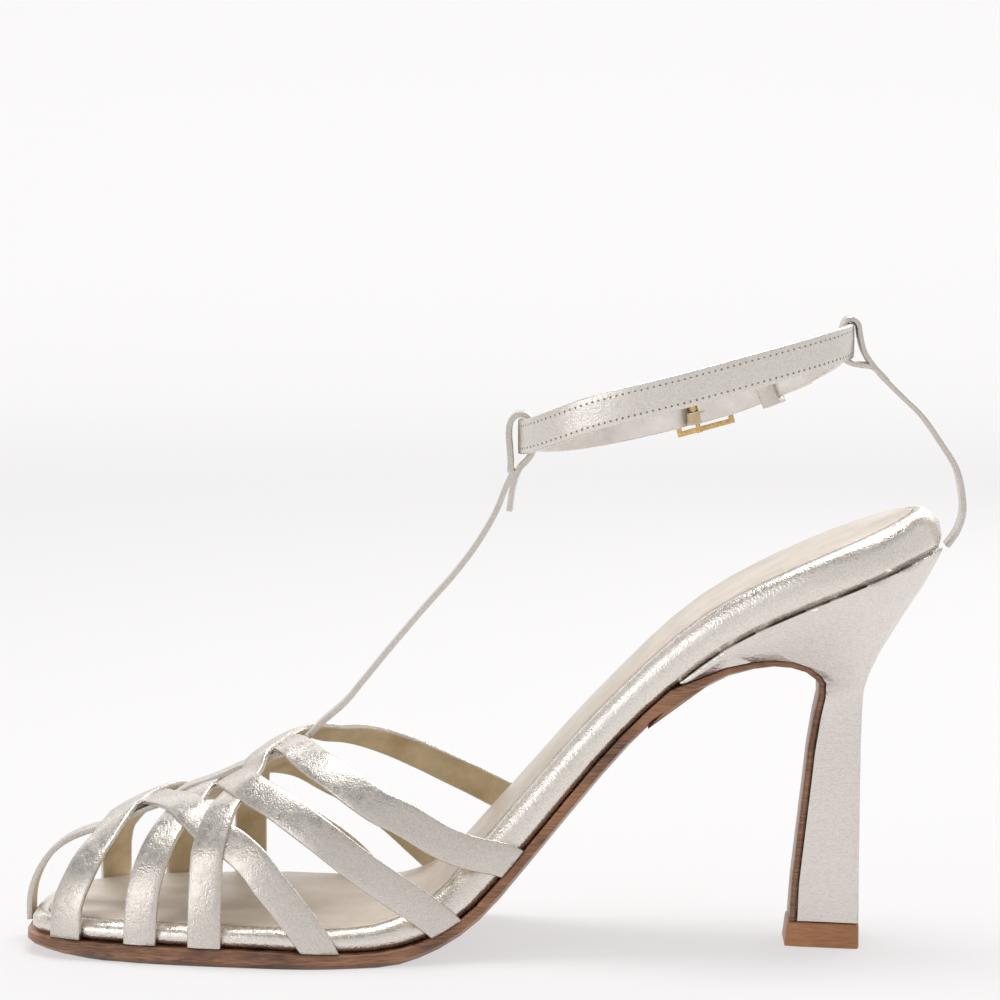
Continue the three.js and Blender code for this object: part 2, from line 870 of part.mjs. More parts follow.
// Middle strap, seen from the side: it rises at the toe, runs along the ridge, then stands up
// as the T-strap and loops over the ankle strap. Shares of the length and of the height of the
// ankle strap at the front, and the strap's offset across as a share of the ball's half width.
const toeStrapRows = [
  [-0.0030, 0.0250, -0.12],
  [-0.0032, 0.0458, -0.12],
  [-0.0036, 0.073, -0.12],
  [-0.0016, 0.103, -0.118],
  [0.0055, 0.137, -0.115],
  [0.0185, 0.171, -0.11],
  [0.035, 0.1955, -0.105],
  [0.0535, 0.211, -0.1],
];
const middleLift = [
  [0.146, 0],
  [0.174, 2],
  [0.228, 2],
  [0.250, 0],
];
const middleLayer = reader(middleLift, 1);
const standRows = [
  [0.2985, 0.3935, -0.02],
  [0.3180, 0.4290, -0.01],
  [0.3440, 0.4695, 0],
  [0.3625, 0.5090, 0],
  [0.3900, 0.5695, 0],
  [0.4180, 0.6290, 0],
  [0.4400, 0.6745, 0],
  [0.4620, 0.7185, 0],
  [0.4840, 0.7690, 0],
  [0.4970, 0.8040, 0],
  [0.5110, 0.8480, 0],
  [0.5220, 0.8960, 0],
  [0.5300, 0.9330, 0],
];

function inPlane(rows) {
  return rows.map(([along, high, across]) => new THREE.Vector3(
    toeFront + along * footLength,
    across * ballHalf,
    high * ankleFrontHeight,
  ));
}

// The ribbon's inner face follows the points; its outward side is to the left of the way it runs.
function planeRibbon(points, steps, width, thick, flip) {
  const curve = new THREE.CatmullRomCurve3(points, false, 'centripetal');
  const spaced = curve.getSpacedPoints(steps);
  const frames = spaced.map((at, k) => {
    const back = spaced[Math.max(0, k - 1)];
    const fore = spaced[Math.min(steps, k + 1)];
    const dx = fore.x - back.x;
    const dz = fore.z - back.z;
    const long = Math.hypot(dx, dz);
    return { at, out: new THREE.Vector3((-dz / long) * flip, 0, (dx / long) * flip) };
  });
  return sweep(squareUp(frames), strapSection(width, thick));
}

// Loop round the ankle strap, as offsets from the strap's middle: shares of its width.
const frontLoopRows = [
  [-0.235, -0.985],
  [-0.235, -0.75],
  [-0.26, -0.35],
  [-0.29, 0.05],
  [-0.25, 0.38],
  [-0.1, 0.57],
  [0.1, 0.57],
  [0.25, 0.38],
  [0.3, 0],
  [0.27, -0.4],
  [0.1, -0.66],
  [-0.11, -0.88],
  [-0.24, -1.15],
  [-0.36, -1.6],
  [-0.44, -2.2],
];

function makeUpper() {
  const steps = { first: 32, second: 30, third: 32, fourth: 30, fifth: 32, sixth: 34 };
  const section = strapSection(strapWidth, strapThick);
  let upper = null;
  Object.keys(strapRows).forEach((name) => {
    const strap = toManifold(sweep(strapFrames(strapRows[name], layerRows[name], steps[name]), section));
    upper = upper ? upper.add(strap) : strap;
  });
  const points = inPlane(toeStrapRows);
  for (let along = 0.075; along < 0.29; along += 0.0125) {
    const x = toeFront + along * footLength;
    const side = (ridgeSide(along) * 0.75 - 0.01) * ballHalf;
    const z = ridgeZ(x) - 0.35 + middleLayer(along) * weaveStep;
    points.push(new THREE.Vector3(x, side, z));
  }
  const stand = inPlane(standRows);
  points.push(...stand);
  const loop = frontLoopRows.map(([across, up]) => new THREE.Vector3(
    ankleFront + across * ankleWidth,
    0,
    ankleFrontHeight + up * ankleWidth,
  ));
  const whole = points.concat(loop);
  upper = upper.add(toManifold(planeRibbon(whole, 92, strapWidth, strapThick, 1)));
  return fromManifold(upper.subtract(belowFeather()));
}

const backStrapRows = [
  [0.9998, 0.9962, 0],
  [1.0032, 1.0066, 0],
  [1.0109, 1.0329, 0],
  [1.0168, 1.0739, 0],
  [1.0159, 1.1201, 0],
  [1.0091, 1.1828, 0],
  [0.9936, 1.2402, 0],
  [0.9718, 1.3101, 0],
  [0.9495, 1.3593, 0],
  [0.9294, 1.4040, 0],
];
const backLoopRows = [
  [0.62, -0.88],
  [0.28, -0.82],
  [-0.02, -0.76],
  [-0.24, -0.62],
  [-0.33, -0.3],
  [-0.33, 0.1],
  [-0.30, 0.46],
  [-0.14, 0.69],
  [0.03, 0.71],
];
const backTailRows = [
  [-0.14, 0.69],
  [0.05, 0.71],
  [0.27, 0.54],
  [0.36, 0.1],
  [0.47, -0.3],
  [0.75, -0.72],
  [1.06, -1.05],
  [1.17, -1.17],
];

function makeBackStrap() {
  const points = backStrapRows.map(([along, high]) => new THREE.Vector3(
    toeFront + along * footLength,
    0,
    high * heelHeight,
  ));
  const backX = ankleFront + ankleLength;
  const backZ = ankleFrontHeight + ankleRise;
  const round = (rows) => rows.map(([across, up]) => new THREE.Vector3(
    backX + across * ankleWidth,
    0,
    backZ + up * ankleWidth,
  ));
  const main = planeRibbon(points.concat(round(backLoopRows)), 34, strapWidth, strapThick, -1);
  const tail = planeRibbon(round(backTailRows), 14, strapWidth, strapThick, -1);
  return fromManifold(toManifold(main).add(toManifold(tail)));
}

// Ankle strap: a loop in plan that climbs to the back, higher on the inner side.
const innerBow = reader([[0, 0], [0.25, 0.08], [0.5, 0.05], [0.75, 0.03], [1, 0]], 1);
const outerDrop = reader([
  [0, 0],
  [0.05, -0.085],
  [0.15, -0.19],
  [0.3, -0.265],
  [0.45, -0.3],
  [0.64, -0.315],
  [0.76, -0.275],
  [0.86, -0.22],
  [0.95, -0.12],
  [1, 0],
], 1);
const loopPower = 2.4;

function ankleLine(share, sign) {
  const half = ankleLength / 2;
  const t = 2 * share - 1;
  const bend = (1 - Math.abs(t) ** loopPower) ** (1 / loopPower);
  const shift = sign > 0 ? outerDrop(share) : innerBow(share);
  return new THREE.Vector3(
    ankleFront + half + half * t,
    sign * ankleHalf * bend,
    ankleFrontHeight + ankleRise * (share + shift),
  );
}

function ankleAt(share, sign, offset) {
  const step = 0.004;
  const fore = ankleLine(Math.min(1, share + step), sign);
  const back = ankleLine(Math.max(0, share - step), sign);
  const along = fore.sub(back).normalize();
  const out = new THREE.Vector3(-along.y * sign, along.x * sign, 0).normalize();
  return { at: ankleLine(share, sign).addScaledVector(out, offset), along, out };
}

// Hinge of the buckle on the outer side: how far back it sits, as a share of the loop.
const hingeShare = 0.53;
const hingeRadius = barThick / 2 - 0.05;
const eyeLeather = 0.7;
const eyeRadius = hingeRadius + gap + eyeLeather;
const rearOffset = -ankleThick / 2;
const eyeOffset = eyeRadius - ankleThick;
const tailOffset = ankleThick / 2 + gap;
const tabLength = 7;
const tailLength = 27;
const overTab = eyeLeather + tailOffset;
const overEye = eyeOffset + eyeRadius + tailOffset;

// The strap's own way: from the hinge round the back and the inner side to the free end.
function anklePath() {
  const share = (along) => hingeShare + along / ankleLength;
  const points = [];
  for (const [along, offset] of [[0.9, rearOffset], [4, rearOffset], [9, rearOffset], [14, rearOffset],
    [20, rearOffset], [26, rearOffset * 0.9], [30, rearOffset * 0.55], [33.4, rearOffset * 0.2]]) {
    points.push(ankleAt(share(along), 1, offset).at);
  }
  const rounds = [0.985, 0.997, 1];
  rounds.forEach((value) => points.push(ankleAt(value, 1, 0).at));
  for (const value of [0.997, 0.985, 0.95, 0.88, 0.8, 0.7, 0.6, 0.5, 0.4, 0.3, 0.2, 0.12, 0.05, 0.015,
    0.003]) {
    points.push(ankleAt(value, -1, 0).at);
  }
  for (const value of [0, 0.003, 0.015, 0.05, 0.12, 0.2, 0.3, 0.38]) {
    points.push(ankleAt(value, 1, 0).at);
  }
  for (const [along, offset] of [[-7.5, 0], [-5.2, 0.02], [-4.3, 0.16], [-3.4, 0.62], [-2.55, 1.4],
    [-1.6, overEye - 0.62], [-0.7, overEye - 0.1], [0.3, overEye], [2, overEye - 0.15],
    [4.5, overTab + 0.3], [7, overTab], [9, overTab - 0.25], [12, tailOffset + 0.15], [16, tailOffset],
    [22, tailOffset], [tailLength, tailOffset]]) {
    points.push(ankleAt(share(along), 1, offset).at);
  }
  return points;
}

function bandSection(width, thick) {
  const a = width / 2;
  const b = thick / 2;
  return [
    [-a + 0.35, -b],
    [a - 0.35, -b],
    [a, -b + 0.4],
    [a, b - 0.4],
    [a - 0.35, b],
    [-a + 0.35, b],
    [-a, b - 0.4],
    [-a, -b + 0.4],
  ];
}

function bandAlong(points, steps, width, thick) {
  const curve = new THREE.CatmullRomCurve3(points, false, 'centripetal');
  const spaced = curve.getSpacedPoints(steps);
  const frames = spaced.map((at, k) => {
    const back = spaced[Math.max(0, k - 1)];
    const fore = spaced[Math.min(steps, k + 1)];
    const dx = fore.x - back.x;
    const dy = fore.y - back.y;
    return { at, out: new THREE.Vector3(-dy, dx, 0).normalize() };
  });
  return toManifold(sweep(squareUp(frames), bandSection(width, thick)));
}

// Places a solid drawn at the hinge: x back along the strap, y outward, z up the strap's width.
function atHinge(along, solid) {
  const { at, along: forward, out } = ankleAt(hingeShare + along / ankleLength, 1, 0);
  const up = forward.clone().cross(out).normalize();
  const side = up.clone().cross(forward).normalize();
  return solid.transform([
    forward.x, forward.y, forward.z, 0,
    side.x, side.y, side.z, 0,
    up.x, up.y, up.z, 0,
    at.x, at.y, at.z, 1,
  ]);
}

function block(x0, x1, y0, y1, z0, z1) {
  const geometry = new THREE.BoxGeometry(x1 - x0, y1 - y0, z1 - z0);
  geometry.translate((x0 + x1) / 2, (y0 + y1) / 2, (z0 + z1) / 2);
  return toManifold(geometry);
}

function post(radius, high, y, sides) {
  const geometry = new THREE.CylinderGeometry(radius, radius, high, sides);
  geometry.rotateX(Math.PI / 2);
  geometry.translate(0, y, 0);
  return toManifold(geometry);
}

function rod(from, to, radius, sides) {
  const line = to.clone().sub(from);
  const geometry = new THREE.CylinderGeometry(radius, radius, line.length(), sides);
  const turn = new THREE.Quaternion().setFromUnitVectors(
    new THREE.Vector3(0, 1, 0),
    line.clone().normalize(),
  );
  geometry.applyQuaternion(turn);
  const middle = from.clone().add(to).multiplyScalar(0.5);
  geometry.translate(middle.x, middle.y, middle.z);
  return toManifold(geometry);
}

const prongRoot = new THREE.Vector3(-0.65, eyeOffset + 0.6, 0);
const prongBend = new THREE.Vector3(-3.1, 3.1, 0);
const frontBarLow = ankleThick / 2 + 0.62;
const frontBarHigh = frontBarLow + barThick;
const prongRest = frontBarHigh + 0.12 + prongThick / 2;
const prongEnd = new THREE.Vector3(-6.1, prongRest, 0);
const notch = prongThick + 2 * gap + 0.4;

function makeAnkleStrap() {
  let strap = bandAlong(anklePath(), 80, ankleWidth, ankleThick);
  const eye = post(eyeRadius, ankleWidth - 0.2, eyeOffset, 14);
  const tab = block(0, tabLength, -ankleThick, eyeLeather, -ankleWidth / 2 + 0.1, ankleWidth / 2 - 0.1);
  strap = strap.add(atHinge(0, eye.add(tab.subtract(block(-1, tabLength + 1, -9, -ankleThick / 2, -9, 9)))));
  strap = strap.subtract(atHinge(0, post(hingeRadius + gap, ankleWidth + 2, eyeOffset, 14)));
  const frontBar = block(-5.5 - gap, -5.5 + barThick + gap, frontBarLow - gap, frontBarHigh + gap, -9, 9);
  strap = strap.subtract(atHinge(0, frontBar));
  const slot = block(-eyeRadius - gap, eyeRadius * 0.92, eyeOffset - eyeRadius - 0.2,
    eyeOffset + eyeRadius + 0.05, -notch / 2, notch / 2);
  strap = strap.subtract(atHinge(0, slot));
  const clear = rod(prongRoot.clone().lerp(prongBend, -0.1), prongBend.clone().lerp(prongRoot, -0.25),
    prongThick / 2 + gap, 10);
  strap = strap.subtract(atHinge(0, clear));
  for (const along of [-15.8, -9.4]) {
    const hole = rod(new THREE.Vector3(0, -2, 0), new THREE.Vector3(0, 2, 0), 0.8, 8);
    strap = strap.subtract(atHinge(along, hole));
  }
  return fromManifold(strap);
}

function makeBuckle() {
  const inner = ankleWidth / 2 + 0.95;
  const outer = inner + barThick;
  const front = -5.5;
  const back = front + buckleLength;
  const rearLow = overTab + ankleThick / 2 + gap / 2;
  const bar = (x0, x1, y0) => block(x0, x1, y0, y0 + barThick, -outer, outer);
  const sideShape = new THREE.Shape([
    new THREE.Vector2(front, frontBarLow),
    new THREE.Vector2(-0.75, frontBarLow + 0.1),
    new THREE.Vector2(-0.75, eyeOffset - hingeRadius),
    new THREE.Vector2(0.75, eyeOffset - hingeRadius),
    new THREE.Vector2(0.75, frontBarLow + 0.2),
    new THREE.Vector2(back, rearLow),
    new THREE.Vector2(back, rearLow + barThick),
    new THREE.Vector2(front, frontBarHigh),
  ]);
  const geometry = new THREE.ExtrudeGeometry(sideShape, { depth: barThick, bevelEnabled: false });
  const low = geometry.clone().translate(0, 0, -outer);
  const high = geometry.clone().translate(0, 0, inner);
  let frame = bar(front, front + barThick, frontBarLow);
  frame = frame.add(bar(back - barThick, back, rearLow));
  frame = frame.add(toManifold(low)).add(toManifold(high));
  frame = frame.add(post(hingeRadius, 2 * outer - 0.2, eyeOffset, 12));
  return fromManifold(atHinge(0, frame));
}

function makeProng() {
  const radius = prongThick / 2;
  let prong = post(hingeRadius + gap * 0.5 + 0.4, prongThick + 0.3, eyeOffset, 14);
  prong = prong.add(rod(prongRoot, prongBend, radius, 8));
  prong = prong.add(rod(prongBend.clone().lerp(prongRoot, 0.05), prongEnd, radius, 8));
  prong = prong.subtract(post(hingeRadius + gap * 0.5, 4, eyeOffset, 14));
  return fromManifold(atHinge(0, prong));
}

const keeperAlong = 18;

function makeKeeper() {
  const low = -ankleThick - gap;
  const high = tailOffset + ankleThick / 2 + gap;
  const side = ankleWidth / 2 + gap;
  const half = keeperWidth / 2;
  const t = keeperThick;
  const whole = block(-half, half, low - t, high + t, -side - t, side + t);
  return fromManifold(atHinge(keeperAlong, whole.subtract(block(-half - 1, half + 1, low, high, -side, side))));
}

const group = new THREE.Group();
group.name = 'strappy_heeled_sandal';

function add(name, geometry, colour, metalness, roughness) {
  geometry.deleteAttribute('normal');
  geometry.deleteAttribute('uv');
  geometry.computeVertexNormals();
  const material = new THREE.MeshStandardMaterial({ color: colour, metalness, roughness });
  material.name = name;
  const mesh = new THREE.Mesh(geometry, material);
  mesh.name = name;
  group.add(mesh);
}

add('outsole', tidied(makeOutsole()), 0xa8764e, 0, 0.5);
add('insole', tidied(makeInsole()), 0xddd6d0, 0.6, 0.4);
add('sock', tidied(makeSock()), 0xcbbba0, 0.2, 0.6);
add('heel', makeHeel(), 0xddd6d0, 0.6, 0.4);
add('heel_tip', tidied(makeTip()), 0xa07450, 0, 0.6);
add('upper', makeUpper(), 0xddd6d0, 0.6, 0.35);
add('back_strap', makeBackStrap(), 0xddd6d0, 0.6, 0.35);add('ankle_strap', makeAnkleStrap(), 0xddd6d0, 0.6, 0.35);
add('buckle_frame', makeBuckle(), 0xd9b878, 1, 0.25);
add('buckle_prong', makeProng(), 0xd9b878, 1, 0.25);
add('keeper', makeKeeper(), 0xddd6d0, 0.6, 0.35);

export default group;
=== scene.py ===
import math
import bpy
import bmesh
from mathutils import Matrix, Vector


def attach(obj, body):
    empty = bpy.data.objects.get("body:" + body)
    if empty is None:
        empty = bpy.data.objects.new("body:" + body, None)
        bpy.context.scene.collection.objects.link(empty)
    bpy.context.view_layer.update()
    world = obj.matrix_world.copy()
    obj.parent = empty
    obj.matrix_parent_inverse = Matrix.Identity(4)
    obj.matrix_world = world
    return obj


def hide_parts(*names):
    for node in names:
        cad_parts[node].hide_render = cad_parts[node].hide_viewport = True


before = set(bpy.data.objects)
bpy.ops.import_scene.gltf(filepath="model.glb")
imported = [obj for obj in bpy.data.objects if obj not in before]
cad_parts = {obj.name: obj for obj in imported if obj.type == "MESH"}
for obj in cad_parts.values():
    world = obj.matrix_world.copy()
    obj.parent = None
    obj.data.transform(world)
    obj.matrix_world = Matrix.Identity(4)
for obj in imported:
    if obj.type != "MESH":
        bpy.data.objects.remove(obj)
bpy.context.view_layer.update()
print("frame loaded", sorted(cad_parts))

mm = 0.001
foot = {"length": 219.6, "toe": 69.6, "heel": 97.4, "ballHalf": 38, "sole": 3.5,
        "spring": 1.9, "instep": 46.5, "fullness": 2.35, "gap": 0.3}
strap = {"width": 8, "thick": 1.3, "weave": 1.0, "edge": 0.42, "steps": 84, "crown": 0.2}
ankle = {"length": 79, "half": 27.5, "front": 48.2, "frontHeight": 122.8, "rise": 23.4,
         "width": 8.1, "thick": 1.6, "power": 2.4, "hinge": 0.53, "stitchPitch": 1.45}

featherRows = [
    [0, 1.0, 0], [0.053, 0.58, 0], [0.135, 0.47, 0], [0.249, 0.42, 0], [0.331, 0.05, 0],
        [0.381, 0, 0], [0.426, 0, 0.015], [0.458, 0, 0.044], [0.490, 0, 0.098],
        [0.526, 0, 0.193], [0.577, 0, 0.3355], [0.636, 0, 0.4995], [0.699, 0, 0.644],
        [0.763, 0, 0.758], [0.822, 0, 0.829], [0.891, 0, 0.897], [1, 0, 1],
]
outlineRows = [
    [0, 0.15, -0.15], [0.0014, 0.39, 0.08], [0.0046, 0.50, 0.25], [0.012, 0.585, 0.42],
        [0.0255, 0.645, 0.592], [0.0437, 0.692, 0.718], [0.071, 0.753, 0.832],
        [0.1075, 0.811, 0.916], [0.153, 0.871, 0.971], [0.208, 0.932, 1.005],
        [0.262, 0.976, 1.024], [0.317, 0.989, 1.029], [0.3625, 0.953, 0.997],
        [0.408, 0.879, 0.921], [0.449, 0.797, 0.837], [0.490, 0.711, 0.753],
        [0.5355, 0.632, 0.674], [0.590, 0.579, 0.613], [0.6448, 0.558, 0.592],
        [0.6995, 0.576, 0.608], [0.7587, 0.616, 0.642], [0.818, 0.655, 0.674],
        [0.868, 0.682, 0.687], [0.909, 0.663, 0.663], [0.941, 0.589, 0.589],
        [0.968, 0.463, 0.463], [0.9863, 0.316, 0.316], [0.9968, 0.158, 0.158], [1, 0, 0],
]
ridgeRows = [
    [-0.01, 0.16, -0.16], [0.012, 0.35, -0.15], [0.035, 0.44, -0.145], [0.054, 0.488, -0.14],
        [0.076, 0.523, -0.135], [0.103, 0.575, -0.125], [0.135, 0.636, -0.115],
        [0.162, 0.674, -0.105], [0.180, 0.7, -0.1], [0.203, 0.74, -0.09], [0.232, 0.804, -0.08],
        [0.262, 0.89, -0.065], [0.285, 0.943, -0.06], [0.310, 0.98, -0.055],
        [0.340, 1.04, -0.05], [0.385, 1.14, -0.05], [0.454, 1.34, -0.045], [0.545, 1.68, -0.04],
]
strapRows = {
    "first": [
        [0, 0.0475], [0.08, 0.049], [0.21, 0.062], [0.3, 0.073], [0.38, 0.086], [0.44, 0.097],
        [0.5, 0.110], [0.55, 0.1257], [0.62, 0.151], [0.7, 0.185], [0.77, 0.218], [0.84, 0.254],
        [0.884, 0.2805], [0.948, 0.3306], [1, 0.369],
    ],
    "second": [
        [0, 0.131], [0.1, 0.1335], [0.17, 0.139], [0.25, 0.148], [0.32, 0.159], [0.4, 0.174],
        [0.5, 0.196], [0.6, 0.226], [0.68, 0.2555], [0.74, 0.283], [0.79, 0.308], [0.84, 0.340],
        [0.9, 0.381], [0.95, 0.417], [1, 0.458],
    ],
    "third": [
        [0, 0.202], [0.1, 0.2025], [0.19, 0.205], [0.25, 0.211], [0.31, 0.2185], [0.37, 0.229],
        [0.43, 0.245], [0.5, 0.269], [0.54, 0.2855], [0.6, 0.310], [0.65, 0.333], [0.73, 0.374],
        [0.79, 0.410], [0.835, 0.440], [0.89, 0.4775], [0.94, 0.508], [1, 0.542],
    ],
    "fourth": [
        [0, 0.326], [0.06, 0.292], [0.1, 0.272], [0.15, 0.2535], [0.2, 0.233], [0.25, 0.210],
        [0.32, 0.189], [0.4, 0.169], [0.5, 0.137], [0.58, 0.117], [0.68, 0.091], [0.76, 0.0745],
        [0.85, 0.0685], [0.92, 0.067], [1, 0.066],
    ],
    "fifth": [
        [0, 0.459], [0.035, 0.429], [0.08, 0.390], [0.125, 0.356], [0.19, 0.317], [0.25, 0.284],
        [0.32, 0.255], [0.4, 0.2335], [0.5, 0.212], [0.57, 0.196], [0.64, 0.178], [0.71, 0.160],
        [0.79, 0.147], [0.84, 0.141], [0.94, 0.139], [1, 0.138],
    ],
    "sixth": [
        [0, 0.530], [0.04, 0.500], [0.1, 0.4535], [0.16, 0.413], [0.2, 0.3845], [0.27, 0.349],
        [0.34, 0.321], [0.42, 0.297], [0.5, 0.276], [0.58, 0.256], [0.66, 0.2385],
        [0.74, 0.2268], [0.8, 0.2215], [0.93, 0.2178], [1, 0.2165],
    ],
}
layerRows = {
    "first": [[0.36, 0], [0.43, 1], [0.49, 2], [0.6, 2], [0.645, 0], [0.69, 0], [0.745, 1],
        [0.81, 1], [0.86, 0]],
    "second": [[0.42, 0], [0.47, 1], [0.59, 1], [0.625, 0]],
    "third": [[0.14, 0], [0.2, 1], [0.3, 1], [0.365, 0], [0.425, 0], [0.465, 2], [0.56, 2],
        [0.63, 0]],
    "fourth": [[0.29, 0], [0.345, 1], [0.6, 1], [0.65, 0]],
    "fifth": [[0.31, 0], [0.36, 1], [0.44, 1], [0.485, 0], [0.59, 0], [0.63, 1], [0.71, 1],
        [0.78, 0]],
    "sixth": [[0.4, 0], [0.455, 1], [0.69, 1], [0.735, 0]],
}
toeStrapRows = [
    [-0.0030, 0.0250, -0.12], [-0.0032, 0.0458, -0.12], [-0.0036, 0.073, -0.12],
        [-0.0016, 0.103, -0.118], [0.0055, 0.137, -0.115], [0.0185, 0.171, -0.11],
        [0.035, 0.1955, -0.105], [0.0535, 0.211, -0.1],
]
middleLift = [
    [0.146, 0], [0.174, 2], [0.228, 2], [0.250, 0],
]
standRows = [
    [0.2985, 0.3935, -0.02], [0.3180, 0.4290, -0.01], [0.3440, 0.4695, 0], [0.3625, 0.5090, 0],
        [0.3900, 0.5695, 0], [0.4180, 0.6290, 0], [0.4400, 0.6745, 0], [0.4620, 0.7185, 0],
        [0.4840, 0.7690, 0], [0.4970, 0.8040, 0], [0.5110, 0.8480, 0], [0.5220, 0.8960, 0],
        [0.5300, 0.9330, 0],
]
frontLoopRows = [
    [-0.235, -0.985], [-0.235, -0.75], [-0.26, -0.35], [-0.29, 0.05], [-0.25, 0.38],
        [-0.1, 0.57], [0.1, 0.57], [0.25, 0.38], [0.3, 0], [0.27, -0.4], [0.1, -0.66],
        [-0.11, -0.88], [-0.24, -1.15], [-0.36, -1.6], [-0.44, -2.2],
]
backStrapRows = [
    [0.9998, 0.9962, 0], [1.0032, 1.0066, 0], [1.0109, 1.0329, 0], [1.0168, 1.0739, 0],
        [1.0159, 1.1201, 0], [1.0091, 1.1828, 0], [0.9936, 1.2402, 0], [0.9718, 1.3101, 0],
        [0.9495, 1.3593, 0], [0.9294, 1.4040, 0],
]
backLoopRows = [
    [0.62, -0.88], [0.28, -0.82], [-0.02, -0.76], [-0.24, -0.62], [-0.33, -0.3], [-0.33, 0.1],
        [-0.30, 0.46], [-0.14, 0.69], [0.03, 0.71],
]
backTailRows = [
    [-0.14, 0.69], [0.05, 0.71], [0.27, 0.54], [0.36, 0.1], [0.47, -0.3], [0.75, -0.72],
        [1.06, -1.05], [1.17, -1.17],
]


# a smooth monotone reading of a table, keyed by its first column
def reader(rows, column):
    xs = [row[0] for row in rows]
    ys = [row[column] for row in rows]
    slope = [(ys[i + 1] - ys[i]) / (xs[i + 1] - xs[i]) for i in range(len(xs) - 1)]
    bend = [slope[0]]
    for a, b in zip(slope, slope[1:]):
        bend.append(2 * a * b / (a + b) if a * b > 0 else 0)
    bend.append(slope[-1])

    def read(x):
        if x <= xs[0]:
            return ys[0]
        if x >= xs[-1]:
            return ys[-1]
        i = 0
        while x > xs[i + 1]:
            i += 1
        wide = xs[i + 1] - xs[i]
        t = (x - xs[i]) / wide
        a = (1 + 2 * t) * (1 - t) ** 2
        b = t * (1 - t) ** 2 * wide
        c = t * t * (3 - 2 * t)
        d = t * t * (t - 1) * wide
        return a * ys[i] + b * bend[i] + c * ys[i + 1] + d * bend[i + 1]
    return read


springShare = reader(featherRows, 1)
riseShare = reader(featherRows, 2)
medialShare = reader(outlineRows, 1)
lateralShare = reader(outlineRows, 2)
ridgeShare = reader(ridgeRows, 1)
ridgeSide = reader(ridgeRows, 2)
middleLayer = reader(middleLift, 1)


def featherZ(x):
    total = 0
    for step, weight in ((-0.017, 1), (0, 2), (0.017, 1)):
        along = (x + foot["toe"]) / foot["length"] + step
        total += weight * (springShare(along) * foot["spring"]
                           + riseShare(along) * (foot["heel"] - foot["sole"]))
    return foot["sole"] + total / 4


def ridgeZ(x):
    along = (x + foot["toe"]) / foot["length"]
    return max(foot["sole"] + ridgeShare(along) * foot["instep"], featherZ(x) + 2)


# a point on the foot's form: turn goes from 0 at the inner sole line to 1 at the outer one
def lastPoint(x, turn):
    along = (x + foot["toe"]) / foot["length"]
    middle = ridgeSide(along) * foot["ballHalf"]
    low = featherZ(x)
    c = math.cos(math.pi * turn)
    s = max(0.0, math.sin(math.pi * turn))
    if c > 0:
        reach = foot["ballHalf"] * medialShare(along) + foot["gap"] + middle
    else:
        reach = foot["ballHalf"] * lateralShare(along) + foot["gap"] - middle
    power = 2 / foot["fullness"]
    y = middle - math.copysign(1, c) * reach * abs(c) ** power
    return Vector((x, y, low + (ridgeZ(x) - low) * s ** power))


def lastNormal(x, turn):
    t = min(0.985, max(0.015, turn))
    dx = lastPoint(x + 0.5, t) - lastPoint(x - 0.5, t)
    dt = lastPoint(x, t + 0.01) - lastPoint(x, t - 0.01)
    normal = dx.cross(dt).normalized()
    if normal.dot(lastPoint(x, t) - Vector((x, 0, featherZ(x)))) < 0:
        normal.negate()
    return normal


def evenly(points, outs, steps):
    length = [0.0]
    for a, b in zip(points, points[1:]):
        length.append(length[-1] + (b - a).length)
    spaced = []
    i = 0
    for k in range(steps + 1):
        want = length[-1] * k / steps
        while i < len(points) - 2 and length[i + 1] < want:
            i += 1
        share = (want - length[i]) / max(1e-9, length[i + 1] - length[i])
        at = points[i].lerp(points[i + 1], share)
        out = outs[i].lerp(outs[i + 1], share).normalized() if outs else None
        spaced.append((at, out))
    return spaced


# each frame gets its own width direction, square to the way the strap runs
def squareUp(frames):
    done = []
    last = len(frames) - 1
    for k, (at, out) in enumerate(frames):
        along = (frames[min(last, k + 1)][0] - frames[max(0, k - 1)][0]).normalized()
        side = along.cross(out).normalized()
        done.append((at, side, side.cross(along).normalized()))
    return done, sum((b[0] - a[0]).length for a, b in zip(frames, frames[1:]))


# centripetal curve through the points
def curveThrough(points, fine=14):
    pts = [points[0] * 2 - points[1]] + list(points) + [points[-1] * 2 - points[-2]]
    line = []
    for p0, p1, p2, p3 in zip(pts, pts[1:], pts[2:], pts[3:]):
        a = max(1e-4, (p1 - p0).length ** 0.5)
        b = max(1e-4, (p2 - p1).length ** 0.5)
        c = max(1e-4, (p3 - p2).length ** 0.5)
        m1 = (p2 - p1) + ((p1 - p0) / a - (p2 - p0) / (a + b)) * b
        m2 = (p2 - p1) + ((p3 - p2) / c - (p3 - p1) / (b + c)) * b
        for k in range(fine):
            t = k / fine
            line.append(p1 * (2 * t ** 3 - 3 * t ** 2 + 1) + m1 * (t ** 3 - 2 * t ** 2 + t)
                        + p2 * (-2 * t ** 3 + 3 * t ** 2) + m2 * (t ** 3 - t ** 2))
    line.append(points[-1].copy())
    return line


def selectNothing():
    if bpy.context.object and bpy.context.object.mode != "OBJECT":
        bpy.ops.object.mode_set(mode="OBJECT")
    bpy.ops.object.select_all(action="DESELECT")


def makeActive(piece):
    selectNothing()
    piece.select_set(True)
    bpy.context.view_layer.objects.active = piece


def applyAll(piece):
    makeActive(piece)
    for modifier in list(piece.modifiers):
        bpy.ops.object.modifier_apply(modifier=modifier.name)


def addModifier(piece, kind, **settings):
    modifier = piece.modifiers.new(kind.title(), kind)
    for key, value in settings.items():
        setattr(modifier, key, value)
    return modifier


def settle(piece, slotName, *nodes):
    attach(piece, "root")
    if nodes:
        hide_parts(*nodes)
    return piece


